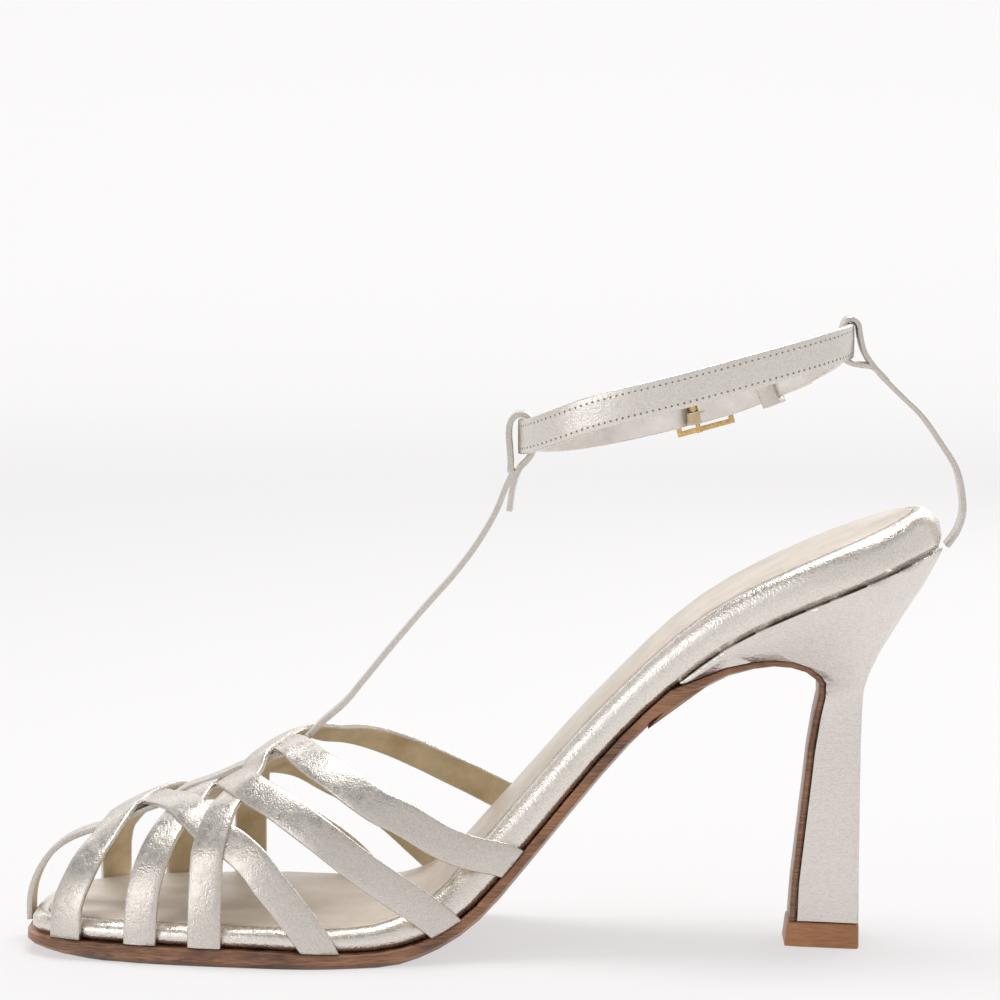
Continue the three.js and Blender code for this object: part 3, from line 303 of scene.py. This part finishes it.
# a strip of leather laid along frames: a grid shaped to the way it runs, then given a wall
def layStrip(name, frames, width, thick, outer, lining, edge=0.3, crown=0.14, across=4):
    frames, long = squareUp(frames)
    selectNothing()
    bpy.ops.mesh.primitive_grid_add(x_subdivisions=len(frames) - 1, y_subdivisions=across, size=2)
    piece = bpy.context.object
    piece.name = name
    piece.data.name = name
    last = len(frames) - 1
    mesh = piece.data
    for vertex in mesh.vertices:
        share = (vertex.co.x + 1) / 2 * last
        i = min(last - 1, int(share + 1e-6))
        t = share - i
        at, side, out = (frames[i][k].lerp(frames[i + 1][k], t) for k in range(3))
        v = vertex.co.y
        lift = crown * (1 - v * v)
        vertex.co = (at + side * (v * width / 2) + out * lift) * mm
    for loop in mesh.uv_layers.active.data:
        loop.uv = (loop.uv[0] * long / 100, loop.uv[1] * width / 100)
    face = mesh.polygons[len(mesh.polygons) // 2]
    middle = min(range(last + 1), key=lambda k: (frames[k][0] * mm - face.center).length)
    if face.normal.dot(frames[middle][2]) < 0:
        bpy.ops.object.mode_set(mode="EDIT")
        bpy.ops.mesh.select_all(action="SELECT")
        bpy.ops.mesh.flip_normals()
        bpy.ops.object.mode_set(mode="OBJECT")
    addModifier(piece, "SOLIDIFY", thickness=thick * mm, offset=1, use_even_offset=True)
    applyAll(piece)
    mesh.materials.append(outer)
    mesh.materials.append(lining)
    span = long / 100
    for polygon in mesh.polygons:
        u = sum(mesh.uv_layers.active.data[i].uv[0] for i in polygon.loop_indices)
        u /= len(polygon.loop_indices)
        out = frames[min(last, max(0, round(u / span * last)))][2]
        polygon.material_index = 1 if polygon.normal.dot(out) < -0.6 else 0
    addModifier(piece, "BEVEL", width=edge * mm, segments=3, limit_method="ANGLE",
                angle_limit=math.radians(50), material=0)
    applyAll(piece)
    bpy.ops.object.shade_smooth()
    return piece


def trimBelow(piece, x):
    slope = featherZ(x + 1) - featherZ(x - 1)
    makeActive(piece)
    bpy.ops.object.mode_set(mode="EDIT")
    bpy.ops.mesh.select_all(action="SELECT")
    bpy.ops.mesh.bisect(plane_co=(x * mm, 0, (featherZ(x) + 0.16) * mm),
                        plane_no=Vector((-slope / 2, 0, 1)).normalized(),
                        clear_inner=True, use_fill=True)
    bpy.ops.object.mode_set(mode="OBJECT")


# a copy of a solid's mesh, merged, to be finished by modifiers
def fromSolid(node, name, merge=0.00002):
    piece = bpy.data.objects.new(name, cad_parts[node].data.copy())
    bpy.context.scene.collection.objects.link(piece)
    piece.data.materials.clear()
    makeActive(piece)
    bpy.ops.object.mode_set(mode="EDIT")
    bpy.ops.mesh.select_all(action="SELECT")
    bpy.ops.mesh.remove_doubles(threshold=merge)
    bpy.ops.mesh.tris_convert_to_quads(face_threshold=0.35, shape_threshold=1.2)
    bpy.ops.mesh.normals_make_consistent(inside=False)
    bpy.ops.object.mode_set(mode="OBJECT")
    return piece


# materials

def linear(code):
    parts = [int(code[i:i + 2], 16) / 255 for i in (1, 3, 5)]
    return [p / 12.92 if p <= 0.04045 else ((p + 0.055) / 1.055) ** 2.4 for p in parts] + [1]


def addNode(material, kind, links=(), **settings):
    node = material.node_tree.nodes.new(kind)
    for key, value in settings.items():
        if key in node.inputs.keys() or key.replace("_", " ") in node.inputs.keys():
            node.inputs[key if key in node.inputs.keys() else key.replace("_", " ")].default_value = value
        else:
            setattr(node, key, value)
    for socket, source in links:
        material.node_tree.links.new(source, node.inputs[socket])
    return node


def newMaterial(name):
    material = bpy.data.materials.new(name)
    material.use_nodes = True
    shader = material.node_tree.nodes["Principled BSDF"]
    return material, shader, material.node_tree.links


def setRamp(node, stops):
    ramp = node.color_ramp
    while len(ramp.elements) < len(stops):
        ramp.elements.new(0.5)
    for element, (place, colour) in zip(ramp.elements, stops):
        element.position = place
        element.color = colour


# foil-laminated goat leather: a thin metal film pressed over a fine pebble grain, so each
# pebble catches the light on its own
def foilLeather(name, light, dark, grain=0.55, stretch=(1, 1, 1), roughness=0.3, depth=0.055,
                metallic=0.92, stitched=False):
    material, shader, link = newMaterial(name)
    place = addNode(material, "ShaderNodeTexCoord")
    toMm = addNode(material, "ShaderNodeMapping", [("Vector", place.outputs["Object"])],
                   Scale=[1000 * s for s in stretch])
    pebbles = addNode(material, "ShaderNodeTexVoronoi", [("Vector", toMm.outputs[0])],
                      Scale=1 / grain, Randomness=0.9)
    creases = addNode(material, "ShaderNodeTexNoise", [("Vector", toMm.outputs[0])],
                      Scale=0.45, Detail=2, Roughness=0.62)
    swell = addNode(material, "ShaderNodeTexNoise", [("Vector", toMm.outputs[0])],
                    Scale=0.09, Detail=1, Roughness=0.5)
    tone = addNode(material, "ShaderNodeValToRGB", [("Fac", pebbles.outputs["Distance"])])
    setRamp(tone, [(0.15, linear(light)), (0.8, linear(dark))])
    patchy = addNode(material, "ShaderNodeMix", [(0, swell.outputs[0]), (6, tone.outputs[0])],
                     data_type="RGBA", blend_type="MULTIPLY")
    patchy.inputs[7].default_value = (0.95, 0.945, 0.935, 1)
    colour = patchy.outputs[2]
    rough = addNode(material, "ShaderNodeMapRange", [(0, creases.outputs[0])])
    rough.inputs[1].default_value = 0.3
    rough.inputs[2].default_value = 0.7
    rough.inputs[3].default_value = roughness - 0.06
    rough.inputs[4].default_value = roughness + 0.08
    link.new(rough.outputs[0], shader.inputs["Roughness"])
    fine = addNode(material, "ShaderNodeBump", [("Height", pebbles.outputs["Distance"])],
                   Strength=1, Distance=depth * mm, invert=True)
    waves = addNode(material, "ShaderNodeBump", [("Height", creases.outputs[0]),
                                                 ("Normal", fine.outputs[0])],
                    Strength=0.8, Distance=0.13 * mm)
    bump = waves
    if stitched:
        uv = addNode(material, "ShaderNodeUVMap")
        parts = addNode(material, "ShaderNodeSeparateXYZ", [(0, uv.outputs[0])])
        beat = addNode(material, "ShaderNodeMath", [(0, parts.outputs[0])], operation="MULTIPLY")
        beat.inputs[1].default_value = 100 / ankle["stitchPitch"]
        phase = addNode(material, "ShaderNodeMath", [(0, beat.outputs[0])], operation="FRACT")
        fromMiddle = addNode(material, "ShaderNodeMath", [(0, phase.outputs[0])],
                             operation="SUBTRACT")
        fromMiddle.inputs[1].default_value = 0.5
        alongHole = addNode(material, "ShaderNodeMath", [(0, fromMiddle.outputs[0])],
                            operation="MULTIPLY")
        alongHole.inputs[1].default_value = ankle["stitchPitch"]
        holes = None
        for row in (1.25, ankle["width"] - 1.5):
            off = addNode(material, "ShaderNodeMath", [(0, parts.outputs[1])],
                          operation="MULTIPLY_ADD")
            off.inputs[1].default_value = 100
            off.inputs[2].default_value = -row
            spot = addNode(material, "ShaderNodeCombineXYZ", [(0, alongHole.outputs[0]),
                                                              (1, off.outputs[0])])
            reach = addNode(material, "ShaderNodeVectorMath", [(0, spot.outputs[0])],
                            operation="LENGTH")
            hole = addNode(material, "ShaderNodeMapRange", [(0, reach.outputs["Value"])],
                           interpolation_type="SMOOTHSTEP")
            hole.inputs[1].default_value = 0.1
            hole.inputs[2].default_value = 0.34
            if holes:
                holes = addNode(material, "ShaderNodeMath", [(0, holes), (1, hole.outputs[0])],
                                operation="MULTIPLY").outputs[0]
            else:
                holes = hole.outputs[0]
        # the stitch holes are dents in the bump; their dark colour is painted shade standing in for the
        # depth of each hole
        holeShade = addNode(material, "ShaderNodeMix", [(0, holes), (7, colour)],
                         data_type="RGBA", blend_type="MIX")
        holeShade.inputs[6].default_value = linear("#857B70")
        colour = holeShade.outputs[2]
        bump = addNode(material, "ShaderNodeBump", [("Height", holes), ("Normal", waves.outputs[0])],
                       Strength=1, Distance=0.18 * mm)
    link.new(colour, shader.inputs["Base Color"])
    link.new(bump.outputs[0], shader.inputs["Normal"])
    shader.inputs["Metallic"].default_value = metallic
    return material


# soft glove lining: the same hide with a thin pearl finish, matt and warm
def liningLeather(name, light, dark, metallic=0.45):
    material, shader, link = newMaterial(name)
    place = addNode(material, "ShaderNodeTexCoord")
    toMm = addNode(material, "ShaderNodeMapping", [("Vector", place.outputs["Object"])],
                   Scale=(1000, 1000, 1000))
    hide = addNode(material, "ShaderNodeTexNoise", [("Vector", toMm.outputs[0])],
                   Scale=0.12, Detail=3, Roughness=0.6)
    pores = addNode(material, "ShaderNodeTexVoronoi", [("Vector", toMm.outputs[0])],
                    Scale=1 / 0.45, Randomness=1)
    tone = addNode(material, "ShaderNodeValToRGB", [("Fac", hide.outputs[0])])
    setRamp(tone, [(0.32, linear(dark)), (0.68, linear(light))])
    link.new(tone.outputs[0], shader.inputs["Base Color"])
    bump = addNode(material, "ShaderNodeBump", [("Height", pores.outputs["Distance"])],
                   Strength=0.7, Distance=0.035 * mm)
    soft = addNode(material, "ShaderNodeBump", [("Height", hide.outputs[0]),
                                                ("Normal", bump.outputs[0])],
                   Strength=0.5, Distance=0.25 * mm)
    link.new(soft.outputs[0], shader.inputs["Normal"])
    shader.inputs["Metallic"].default_value = metallic
    shader.inputs["Roughness"].default_value = 0.5
    return material


# bark-tanned sole leather with a waxed edge; the edge carries painted shade that darkens it towards the
# floor and a painted highlight band about 1.6 mm up
def soleLeather(name, light, dark, roughness=0.42, paintedLightAmount=1):
    material, shader, link = newMaterial(name)
    place = addNode(material, "ShaderNodeTexCoord")
    toMm = addNode(material, "ShaderNodeMapping", [("Vector", place.outputs["Object"])],
                   Scale=(1000, 1000, 1000))
    broad = addNode(material, "ShaderNodeTexNoise", [("Vector", toMm.outputs[0])],
                    Scale=0.06, Detail=2, Roughness=0.6)
    layers = addNode(material, "ShaderNodeMapping", [("Vector", toMm.outputs[0])],
                     Scale=(0.12, 0.12, 1.6))
    fibres = addNode(material, "ShaderNodeTexNoise", [("Vector", layers.outputs[0])],
                     Scale=2, Detail=2, Roughness=0.6)
    both = addNode(material, "ShaderNodeMath", [(0, broad.outputs[0]), (1, fibres.outputs[0])],
                   operation="ADD")
    tone = addNode(material, "ShaderNodeValToRGB", [("Fac", both.outputs[0])])
    both.use_clamp = False
    half = addNode(material, "ShaderNodeMath", [(0, both.outputs[0])], operation="MULTIPLY")
    half.inputs[1].default_value = 0.5
    link.new(half.outputs[0], tone.inputs["Fac"])
    setRamp(tone, [(0.36, linear(dark)), (0.62, linear(light))])
    # painted shade and highlight by height in mm: darkest at the floor, brightest about 1.6 mm up, a
    # little darker from 3 mm upward
    height = addNode(material, "ShaderNodeSeparateXYZ", [(0, toMm.outputs[0])])
    rise = addNode(material, "ShaderNodeMapRange", [(0, height.outputs[2])])
    rise.inputs[2].default_value = 8
    paintedLightRamp = addNode(material, "ShaderNodeValToRGB", [("Fac", rise.outputs[0])])
    setRamp(paintedLightRamp, [(0.0, (0.38, 0.34, 0.32, 1)), (0.1, (0.5, 0.46, 0.44, 1)),
                   (0.2, (1, 1, 1, 1)), (0.38, (0.72, 0.7, 0.7, 1)), (1, (0.85, 0.85, 0.85, 1))])
    edge = addNode(material, "ShaderNodeMix", [(6, tone.outputs[0]), (7, paintedLightRamp.outputs[0])],
                   data_type="RGBA", blend_type="MULTIPLY")
    edge.inputs[0].default_value = paintedLightAmount
    link.new(edge.outputs[2], shader.inputs["Base Color"])
    bump = addNode(material, "ShaderNodeBump", [("Height", fibres.outputs[0])],
                   Strength=0.6, Distance=0.12 * mm)
    link.new(bump.outputs[0], shader.inputs["Normal"])
    shader.inputs["Roughness"].default_value = roughness
    shader.inputs["Coat Weight"].default_value = 0.25
    shader.inputs["Coat Roughness"].default_value = 0.25
    return material


# pale gold flash on polished brass: soft scratches break the mirror a little
def goldPlate(name):
    material, shader, link = newMaterial(name)
    place = addNode(material, "ShaderNodeTexCoord")
    toMm = addNode(material, "ShaderNodeMapping", [("Vector", place.outputs["Object"])],
                   Scale=(1000, 1000, 1000))
    wear = addNode(material, "ShaderNodeTexNoise", [("Vector", toMm.outputs[0])],
                   Scale=1.2, Detail=2, Roughness=0.6)
    rough = addNode(material, "ShaderNodeMapRange", [(0, wear.outputs[0])])
    rough.inputs[3].default_value = 0.12
    rough.inputs[4].default_value = 0.3
    tone = addNode(material, "ShaderNodeValToRGB", [("Fac", wear.outputs[0])])
    setRamp(tone, [(0.3, linear("#C9A36A")), (0.7, linear("#E4C890"))])
    link.new(tone.outputs[0], shader.inputs["Base Color"])
    link.new(rough.outputs[0], shader.inputs["Roughness"])
    shader.inputs["Metallic"].default_value = 1
    return material


# the four copies of the foil leather differ in base colour as painted light: the stitched, wrap and heel
# copies are paler to stand in for more light falling on those parts, the plain strap copy darker for less
silver = foilLeather("foilGoatLeather", "#DCD6CF", "#CDC6BF", grain=0.45, depth=0.05)
silverStitched = foilLeather("foilGoatLeatherStitched", "#EBE6E0", "#DDD7D0", grain=0.45,
                             depth=0.05, stitched=True)
silverWrap = foilLeather("foilGoatLeatherWrap", "#F0EAE3", "#E1DAD3", grain=0.5, roughness=0.28)
silverHeel = foilLeather("foilGoatLeatherHeel", "#ECE5E0", "#DFD8D2", grain=0.6,
                         stretch=(0.7, 0.7, 1.5), depth=0.07, roughness=0.33)
lining = liningLeather("pearlGloveLining", "#D9C9A8", "#BCA781")
# a paler copy of the same gold lining: its paler colour is painted light, standing in for light falling
# on the ankle strap's inner face
litLining = liningLeather("pearlGloveLiningPale", "#F3EEEA", "#DAD4CE", metallic=0.6)
sockLeather = liningLeather("pearlGloveSock", "#CDC4BA", "#C1B6A9")
soleFinish = soleLeather("barkTannedSole", "#B07C56", "#583722")
tipFinish = soleLeather("toplift", "#B07A4F", "#925F3A", roughness=0.55, paintedLightAmount=0)
gold = goldPlate("paleGoldPlate")
print("materials made")

# vamp straps, crossed over the forefoot


def vampStrap(key):
    along = reader(strapRows[key], 1)
    layer = reader(layerRows[key], 1)
    points = []
    outs = []
    many = 220
    for i in range(many + 1):
        turn = 0.5 - 0.5 * math.cos(math.pi * i / many)
        turn = min(0.9985, max(0.0015, turn))
        x = along(turn) * foot["length"] - foot["toe"]
        out = lastNormal(x, turn)
        points.append(lastPoint(x, turn) + out * (layer(turn) * strap["weave"] + 0.05))
        outs.append(out)
    spaced = evenly(points, outs, strap["steps"])
    more = strap["width"] * 0.55
    start = spaced[0][0] + (spaced[0][0] - spaced[1][0]).normalized() * more
    stop = spaced[-1][0] + (spaced[-1][0] - spaced[-2][0]).normalized() * more
    spaced = [(start, spaced[0][1])] + spaced + [(stop, spaced[-1][1])]
    piece = layStrip("vamp_strap_" + key, spaced, strap["width"], strap["thick"], silver, lining,
                     strap["edge"], strap["crown"])
    for share in (strapRows[key][0][1], strapRows[key][-1][1]):
        trimBelow(piece, share * foot["length"] - foot["toe"])
    return settle(piece, "metallic_leather")


vampStraps = [vampStrap(key) for key in strapRows]
print("vamp straps laid", len(vampStraps))


# straps that stand in the middle plane, seen from the side
def planeStrap(name, points, steps, flip, outer, inner):
    line = curveThrough(points)
    spaced = [at for at, _ in evenly(line, None, steps)]
    frames = []
    for k, at in enumerate(spaced):
        way = spaced[min(steps, k + 1)] - spaced[max(0, k - 1)]
        frames.append((at, Vector((-way.z, 0, way.x)).normalized() * flip))
    return layStrip(name, frames, strap["width"], strap["thick"], outer, inner,
                    strap["edge"], strap["crown"])


def inPlane(rows, wide, high):
    return [Vector((row[0] * foot["length"] - foot["toe"], row[2] * wide, row[1] * high))
            for row in rows]


def roundAnkle(rows, x, z):
    return [Vector((x + a * ankle["width"], 0, z + b * ankle["width"])) for a, b in rows]


middlePoints = inPlane(toeStrapRows, foot["ballHalf"], ankle["frontHeight"])
along = 0.075
while along < 0.29:
    x = along * foot["length"] - foot["toe"]
    middlePoints.append(Vector((x, (ridgeSide(along) * 0.75 - 0.01) * foot["ballHalf"],
                                ridgeZ(x) - 0.35 + middleLayer(along) * strap["weave"])))
    along += 0.0125
middlePoints += inPlane(standRows, foot["ballHalf"], ankle["frontHeight"])
middlePoints += roundAnkle(frontLoopRows, ankle["front"], ankle["frontHeight"])
middleStrap = planeStrap("t_strap", middlePoints, 260, 1, silver, lining)
trimBelow(middleStrap, -foot["toe"])
settle(middleStrap, "metallic_leather")
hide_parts("upper")

backX = ankle["front"] + ankle["length"]
backZ = ankle["frontHeight"] + ankle["rise"]
backPoints = inPlane([row for row in backStrapRows], foot["ballHalf"], foot["heel"])
backPoints += roundAnkle(backLoopRows, backX, backZ)
backStrap = planeStrap("back_strap_leather", backPoints, 120, -1, silver, silver)
settle(backStrap, "metallic_leather", "back_strap")
backTail = planeStrap("back_strap_tail", roundAnkle(backTailRows, backX, backZ), 44, -1,
                      silver, silver)
settle(backTail, "metallic_leather")
print("middle and back straps laid")

# sole, sock, heel


def finishSolid(node, name, material, slotName, angle=42, bevel=0.0, segments=2, subdivide=0):
    piece = fromSolid(node, name)
    piece.data.materials.append(material)
    if bevel:
        addModifier(piece, "BEVEL", width=bevel * mm, segments=segments, limit_method="ANGLE",
                    angle_limit=math.radians(35))
    if subdivide:
        addModifier(piece, "SUBSURF", levels=subdivide, render_levels=subdivide)
    applyAll(piece)
    bpy.ops.object.shade_smooth_by_angle(angle=math.radians(angle))
    return settle(piece, slotName, node)


finishSolid("insole", "insole_wrap", silverWrap, "metallic_leather", angle=70)
finishSolid("sock", "sock_leather", sockLeather, "sock_leather", angle=40)
outsole = finishSolid("outsole", "outsole_leather", soleFinish, "outsole", angle=35)
finishSolid("heel", "heel_cover", silverHeel, "heel_cover", angle=38)
finishSolid("heel_tip", "heel_toplift", tipFinish, "heel_tip", angle=30, bevel=0.25)
finishSolid("buckle_frame", "buckle_frame_metal", gold, "buckle_metal", angle=40, bevel=0.22)
finishSolid("buckle_prong", "buckle_prong_metal", gold, "buckle_metal", angle=60)
finishSolid("keeper", "keeper_leather", silver, "metallic_leather", angle=40, bevel=0.25)

# ankle strap: one strip from the buckle's hinge round the back and the inner side to its
# free end on the outer side, and two short folds round the hinge bar
innerBow = reader([[0, 0], [0.25, 0.08], [0.5, 0.05], [0.75, 0.03], [1, 0]], 1)
outerDrop = reader([[0, 0], [0.05, -0.085], [0.15, -0.19], [0.3, -0.265], [0.45, -0.3],
                    [0.64, -0.315], [0.76, -0.275], [0.86, -0.22], [0.95, -0.12], [1, 0]], 1)


def ankleLine(share, sign):
    half = ankle["length"] / 2
    t = 2 * share - 1
    bend = max(0.0, 1 - abs(t) ** ankle["power"]) ** (1 / ankle["power"])
    shift = outerDrop(share) if sign > 0 else innerBow(share)
    return Vector((ankle["front"] + half + half * t, sign * ankle["half"] * bend,
                   ankle["frontHeight"] + ankle["rise"] * (share + shift)))


def ankleAt(share, sign, offset):
    way = (ankleLine(min(1, share + 0.004), sign) - ankleLine(max(0, share - 0.004), sign)).normalized()
    out = Vector((-way.y * sign, way.x * sign, 0)).normalized()
    return ankleLine(share, sign) + out * offset


def hingeShare(along):
    return ankle["hinge"] + along / ankle["length"]


buckle = {"rear": -0.8, "tail": 1.1, "overTab": 1.8, "overEye": 2.7, "fold": 0.7}
ankleRear = [0.9, 4, 9, 14, 20, 26, 30, 33.4]
rearShift = [1, 1, 1, 1, 1, 0.9, 0.55, 0.2]
anklePoints = [ankleAt(hingeShare(a), 1, buckle["rear"] * k) for a, k in zip(ankleRear, rearShift)]
anklePoints += [ankleAt(v, 1, 0) for v in (0.985, 0.997, 1)]
anklePoints += [ankleAt(v, -1, 0) for v in (0.997, 0.985, 0.95, 0.88, 0.8, 0.7, 0.6, 0.5, 0.4, 0.3,
                                            0.2, 0.12, 0.05, 0.015, 0.003)]
anklePoints += [ankleAt(v, 1, 0) for v in (0, 0.003, 0.015, 0.05, 0.12, 0.2, 0.3, 0.38)]
ankleTail = [[-7.5, 0], [-5.2, 0.02], [-4.3, 0.16], [-3.4, 0.62], [-2.55, 1.4], [-1.6, 2.08],
             [-0.7, 2.6], [0.3, 2.7], [2, 2.55], [4.5, 2.1], [7, 1.8], [9, 1.55], [12, 1.25],
             [16, 1.1], [22, 1.1], [27, 1.1]]
anklePoints += [ankleAt(hingeShare(a), 1, n) for a, n in ankleTail]


def ankleStrip(name, points, steps, width, thick, shift, outer, inner, edge):
    line = [at for at, _ in evenly(curveThrough(points), None, steps)]
    frames = []
    for k, at in enumerate(line):
        way = line[min(steps, k + 1)] - line[max(0, k - 1)]
        frames.append((at, Vector((-way.y, way.x, 0)).normalized()))
    frames = [(at - out * (thick / 2), out) for at, out in frames]
    if shift:
        squared, _ = squareUp(frames)
        frames = [(at + side * shift, out) for at, side, out in squared]
    return layStrip(name, frames, width, thick, outer, inner, edge, 0.05)


ankleStrap = ankleStrip("ankle_strap_leather", anklePoints, 320, ankle["width"], ankle["thick"], 0,
                        silverStitched, litLining, 0.38)
settle(ankleStrap, "metallic_leather", "ankle_strap")
foldPoints = [[7, 0.35], [4, 0.35], [2, 0.55], [1, 0.95], [0, 1.25], [-0.88, 0.88], [-1.25, 0],
              [-0.88, -0.88], [0, -1.25], [1.6, -1.25], [3, -1.22]]
foldLine = [ankleAt(hingeShare(a), 1, n) for a, n in foldPoints]
slotWide = 2.0
foldWide = (ankle["width"] - slotWide) / 2
for side, shift in (("upper", 1), ("lower", -1)):
    fold = ankleStrip("hinge_fold_" + side, foldLine, 48, foldWide, buckle["fold"],
                      shift * (slotWide + foldWide) / 2, silver, lining, 0.2)
    settle(fold, "metallic_leather")
print("sole, heel and buckle finished")

# floor, light and camera
studio = {"reach": 6, "high": 6, "sweep": 4.4, "paper": "#858484", "glow": 0.6,
          "key": 10.5, "rim": 1.3, "fill": 2.4, "wash": 78.0}


def studioSheet():
    selectNothing()
    bpy.ops.mesh.primitive_plane_add(size=2, location=(0, 0, 0))
    floor = bpy.context.object
    floor.name = "studioFloor"
    floor.scale = (studio["reach"], studio["reach"], 1)
    bpy.ops.object.transform_apply(location=True, rotation=True, scale=True)
    bpy.ops.object.mode_set(mode="EDIT")
    bpy.ops.mesh.select_all(action="SELECT")
    bpy.ops.mesh.subdivide(number_cuts=2)
    bpy.ops.mesh.select_all(action="DESELECT")
    bpy.ops.object.mode_set(mode="OBJECT")
    for edge in floor.data.edges:
        ends = [floor.data.vertices[i].co for i in edge.vertices]
        edge.select = all(abs(abs(end.x) - studio["reach"]) < 0.01 for end in ends) or all(
            abs(abs(end.y) - studio["reach"]) < 0.01 for end in ends)
    bpy.ops.object.mode_set(mode="EDIT")
    bpy.ops.mesh.select_mode(type="EDGE")
    bpy.ops.mesh.extrude_region_move(TRANSFORM_OT_translate={"value": (0, 0, studio["high"])})
    bpy.ops.object.mode_set(mode="OBJECT")
    addModifier(floor, "BEVEL", width=studio["sweep"], segments=40, limit_method="ANGLE",
                angle_limit=math.radians(60))
    applyAll(floor)
    bpy.ops.object.shade_smooth()
    material, shader, link = newMaterial("paperFloor")
    matt = addNode(material, "ShaderNodeBsdfDiffuse", Color=linear(studio["paper"]))
    lit = addNode(material, "ShaderNodeEmission", Color=linear("#FFFEFE"), Strength=studio["glow"])
    paper = addNode(material, "ShaderNodeAddShader", [(0, matt.outputs[0]), (1, lit.outputs[0])])
    material.node_tree.nodes.remove(shader)
    link.new(paper.outputs[0], material.node_tree.nodes["Material Output"].inputs["Surface"])
    material.cycles.emission_sampling = "NONE"
    floor.data.materials.append(material)
    return floor


studioSheet()


def softLight(name, place, aim, size, power, colour=(1, 1, 1)):
    lamp = bpy.data.lights.new(name, "AREA")
    lamp.shape = "RECTANGLE"
    lamp.size = size[0]
    lamp.size_y = size[1]
    lamp.energy = power
    lamp.color = colour
    holder = bpy.data.objects.new(name, lamp)
    holder.location = place
    holder.rotation_euler = (Vector(aim) - Vector(place)).to_track_quat("-Z", "Y").to_euler()
    bpy.context.scene.collection.objects.link(holder)
    return holder


softLight("overhead", (0.05, 0.15, 1.1), (0.03, 0, 0.05), (0.9, 0.5), studio["key"])
softLight("nearSide", (-0.7, -0.75, 0.42), (0.0, 0, 0.05), (0.35, 0.7), studio["rim"])
softLight("backSide", (0.5, 0.9, 0.6), (0.03, 0, 0.08), (0.6, 0.6), studio["fill"])
softLight("backdropWash", (0.0, 2.7, 1.8), (0.0, 3.5, 0.0), (6.0, 2.5), studio["wash"])

world = bpy.data.worlds.new("studio")
bpy.context.scene.world = world
world.use_nodes = True
tree = world.node_tree
ground = tree.nodes["Background"]
coords = tree.nodes.new("ShaderNodeTexCoord")
split = tree.nodes.new("ShaderNodeSeparateXYZ")
tree.links.new(coords.outputs["Generated"], split.inputs[0])
band = tree.nodes.new("ShaderNodeValToRGB")
tree.links.new(split.outputs[2], band.inputs["Fac"])
grey = lambda v: (v, v, v * 0.985, 1)
setRamp(band, [(0.0, grey(0.92)), (0.12, grey(0.92)), (0.42, grey(0.74)), (0.66, grey(0.14)),
               (0.82, grey(0.2)), (0.93, grey(1.0))])
tree.links.new(band.outputs[0], ground.inputs["Color"])
ground.inputs["Strength"].default_value = 1

view = {"place": (0.0743, -0.896, 0.1857), "aim": (0.043, 0.0, 0.1073), "lens": 134}
camera = bpy.data.cameras.new("photoCamera")
camera.lens = view["lens"]
camera.sensor_width = 36
camera.sensor_height = 36
camera.clip_start = 0.01
holder = bpy.data.objects.new("photoCamera", camera)
holder.location = view["place"]
holder.rotation_euler = (Vector(view["aim"]) - Vector(view["place"])).to_track_quat("-Z", "Y").to_euler()
bpy.context.scene.collection.objects.link(holder)
bpy.context.scene.camera = holder
bpy.context.scene.view_settings.view_transform = "Standard"
print("studio set")

bpy.context.view_layer.update()
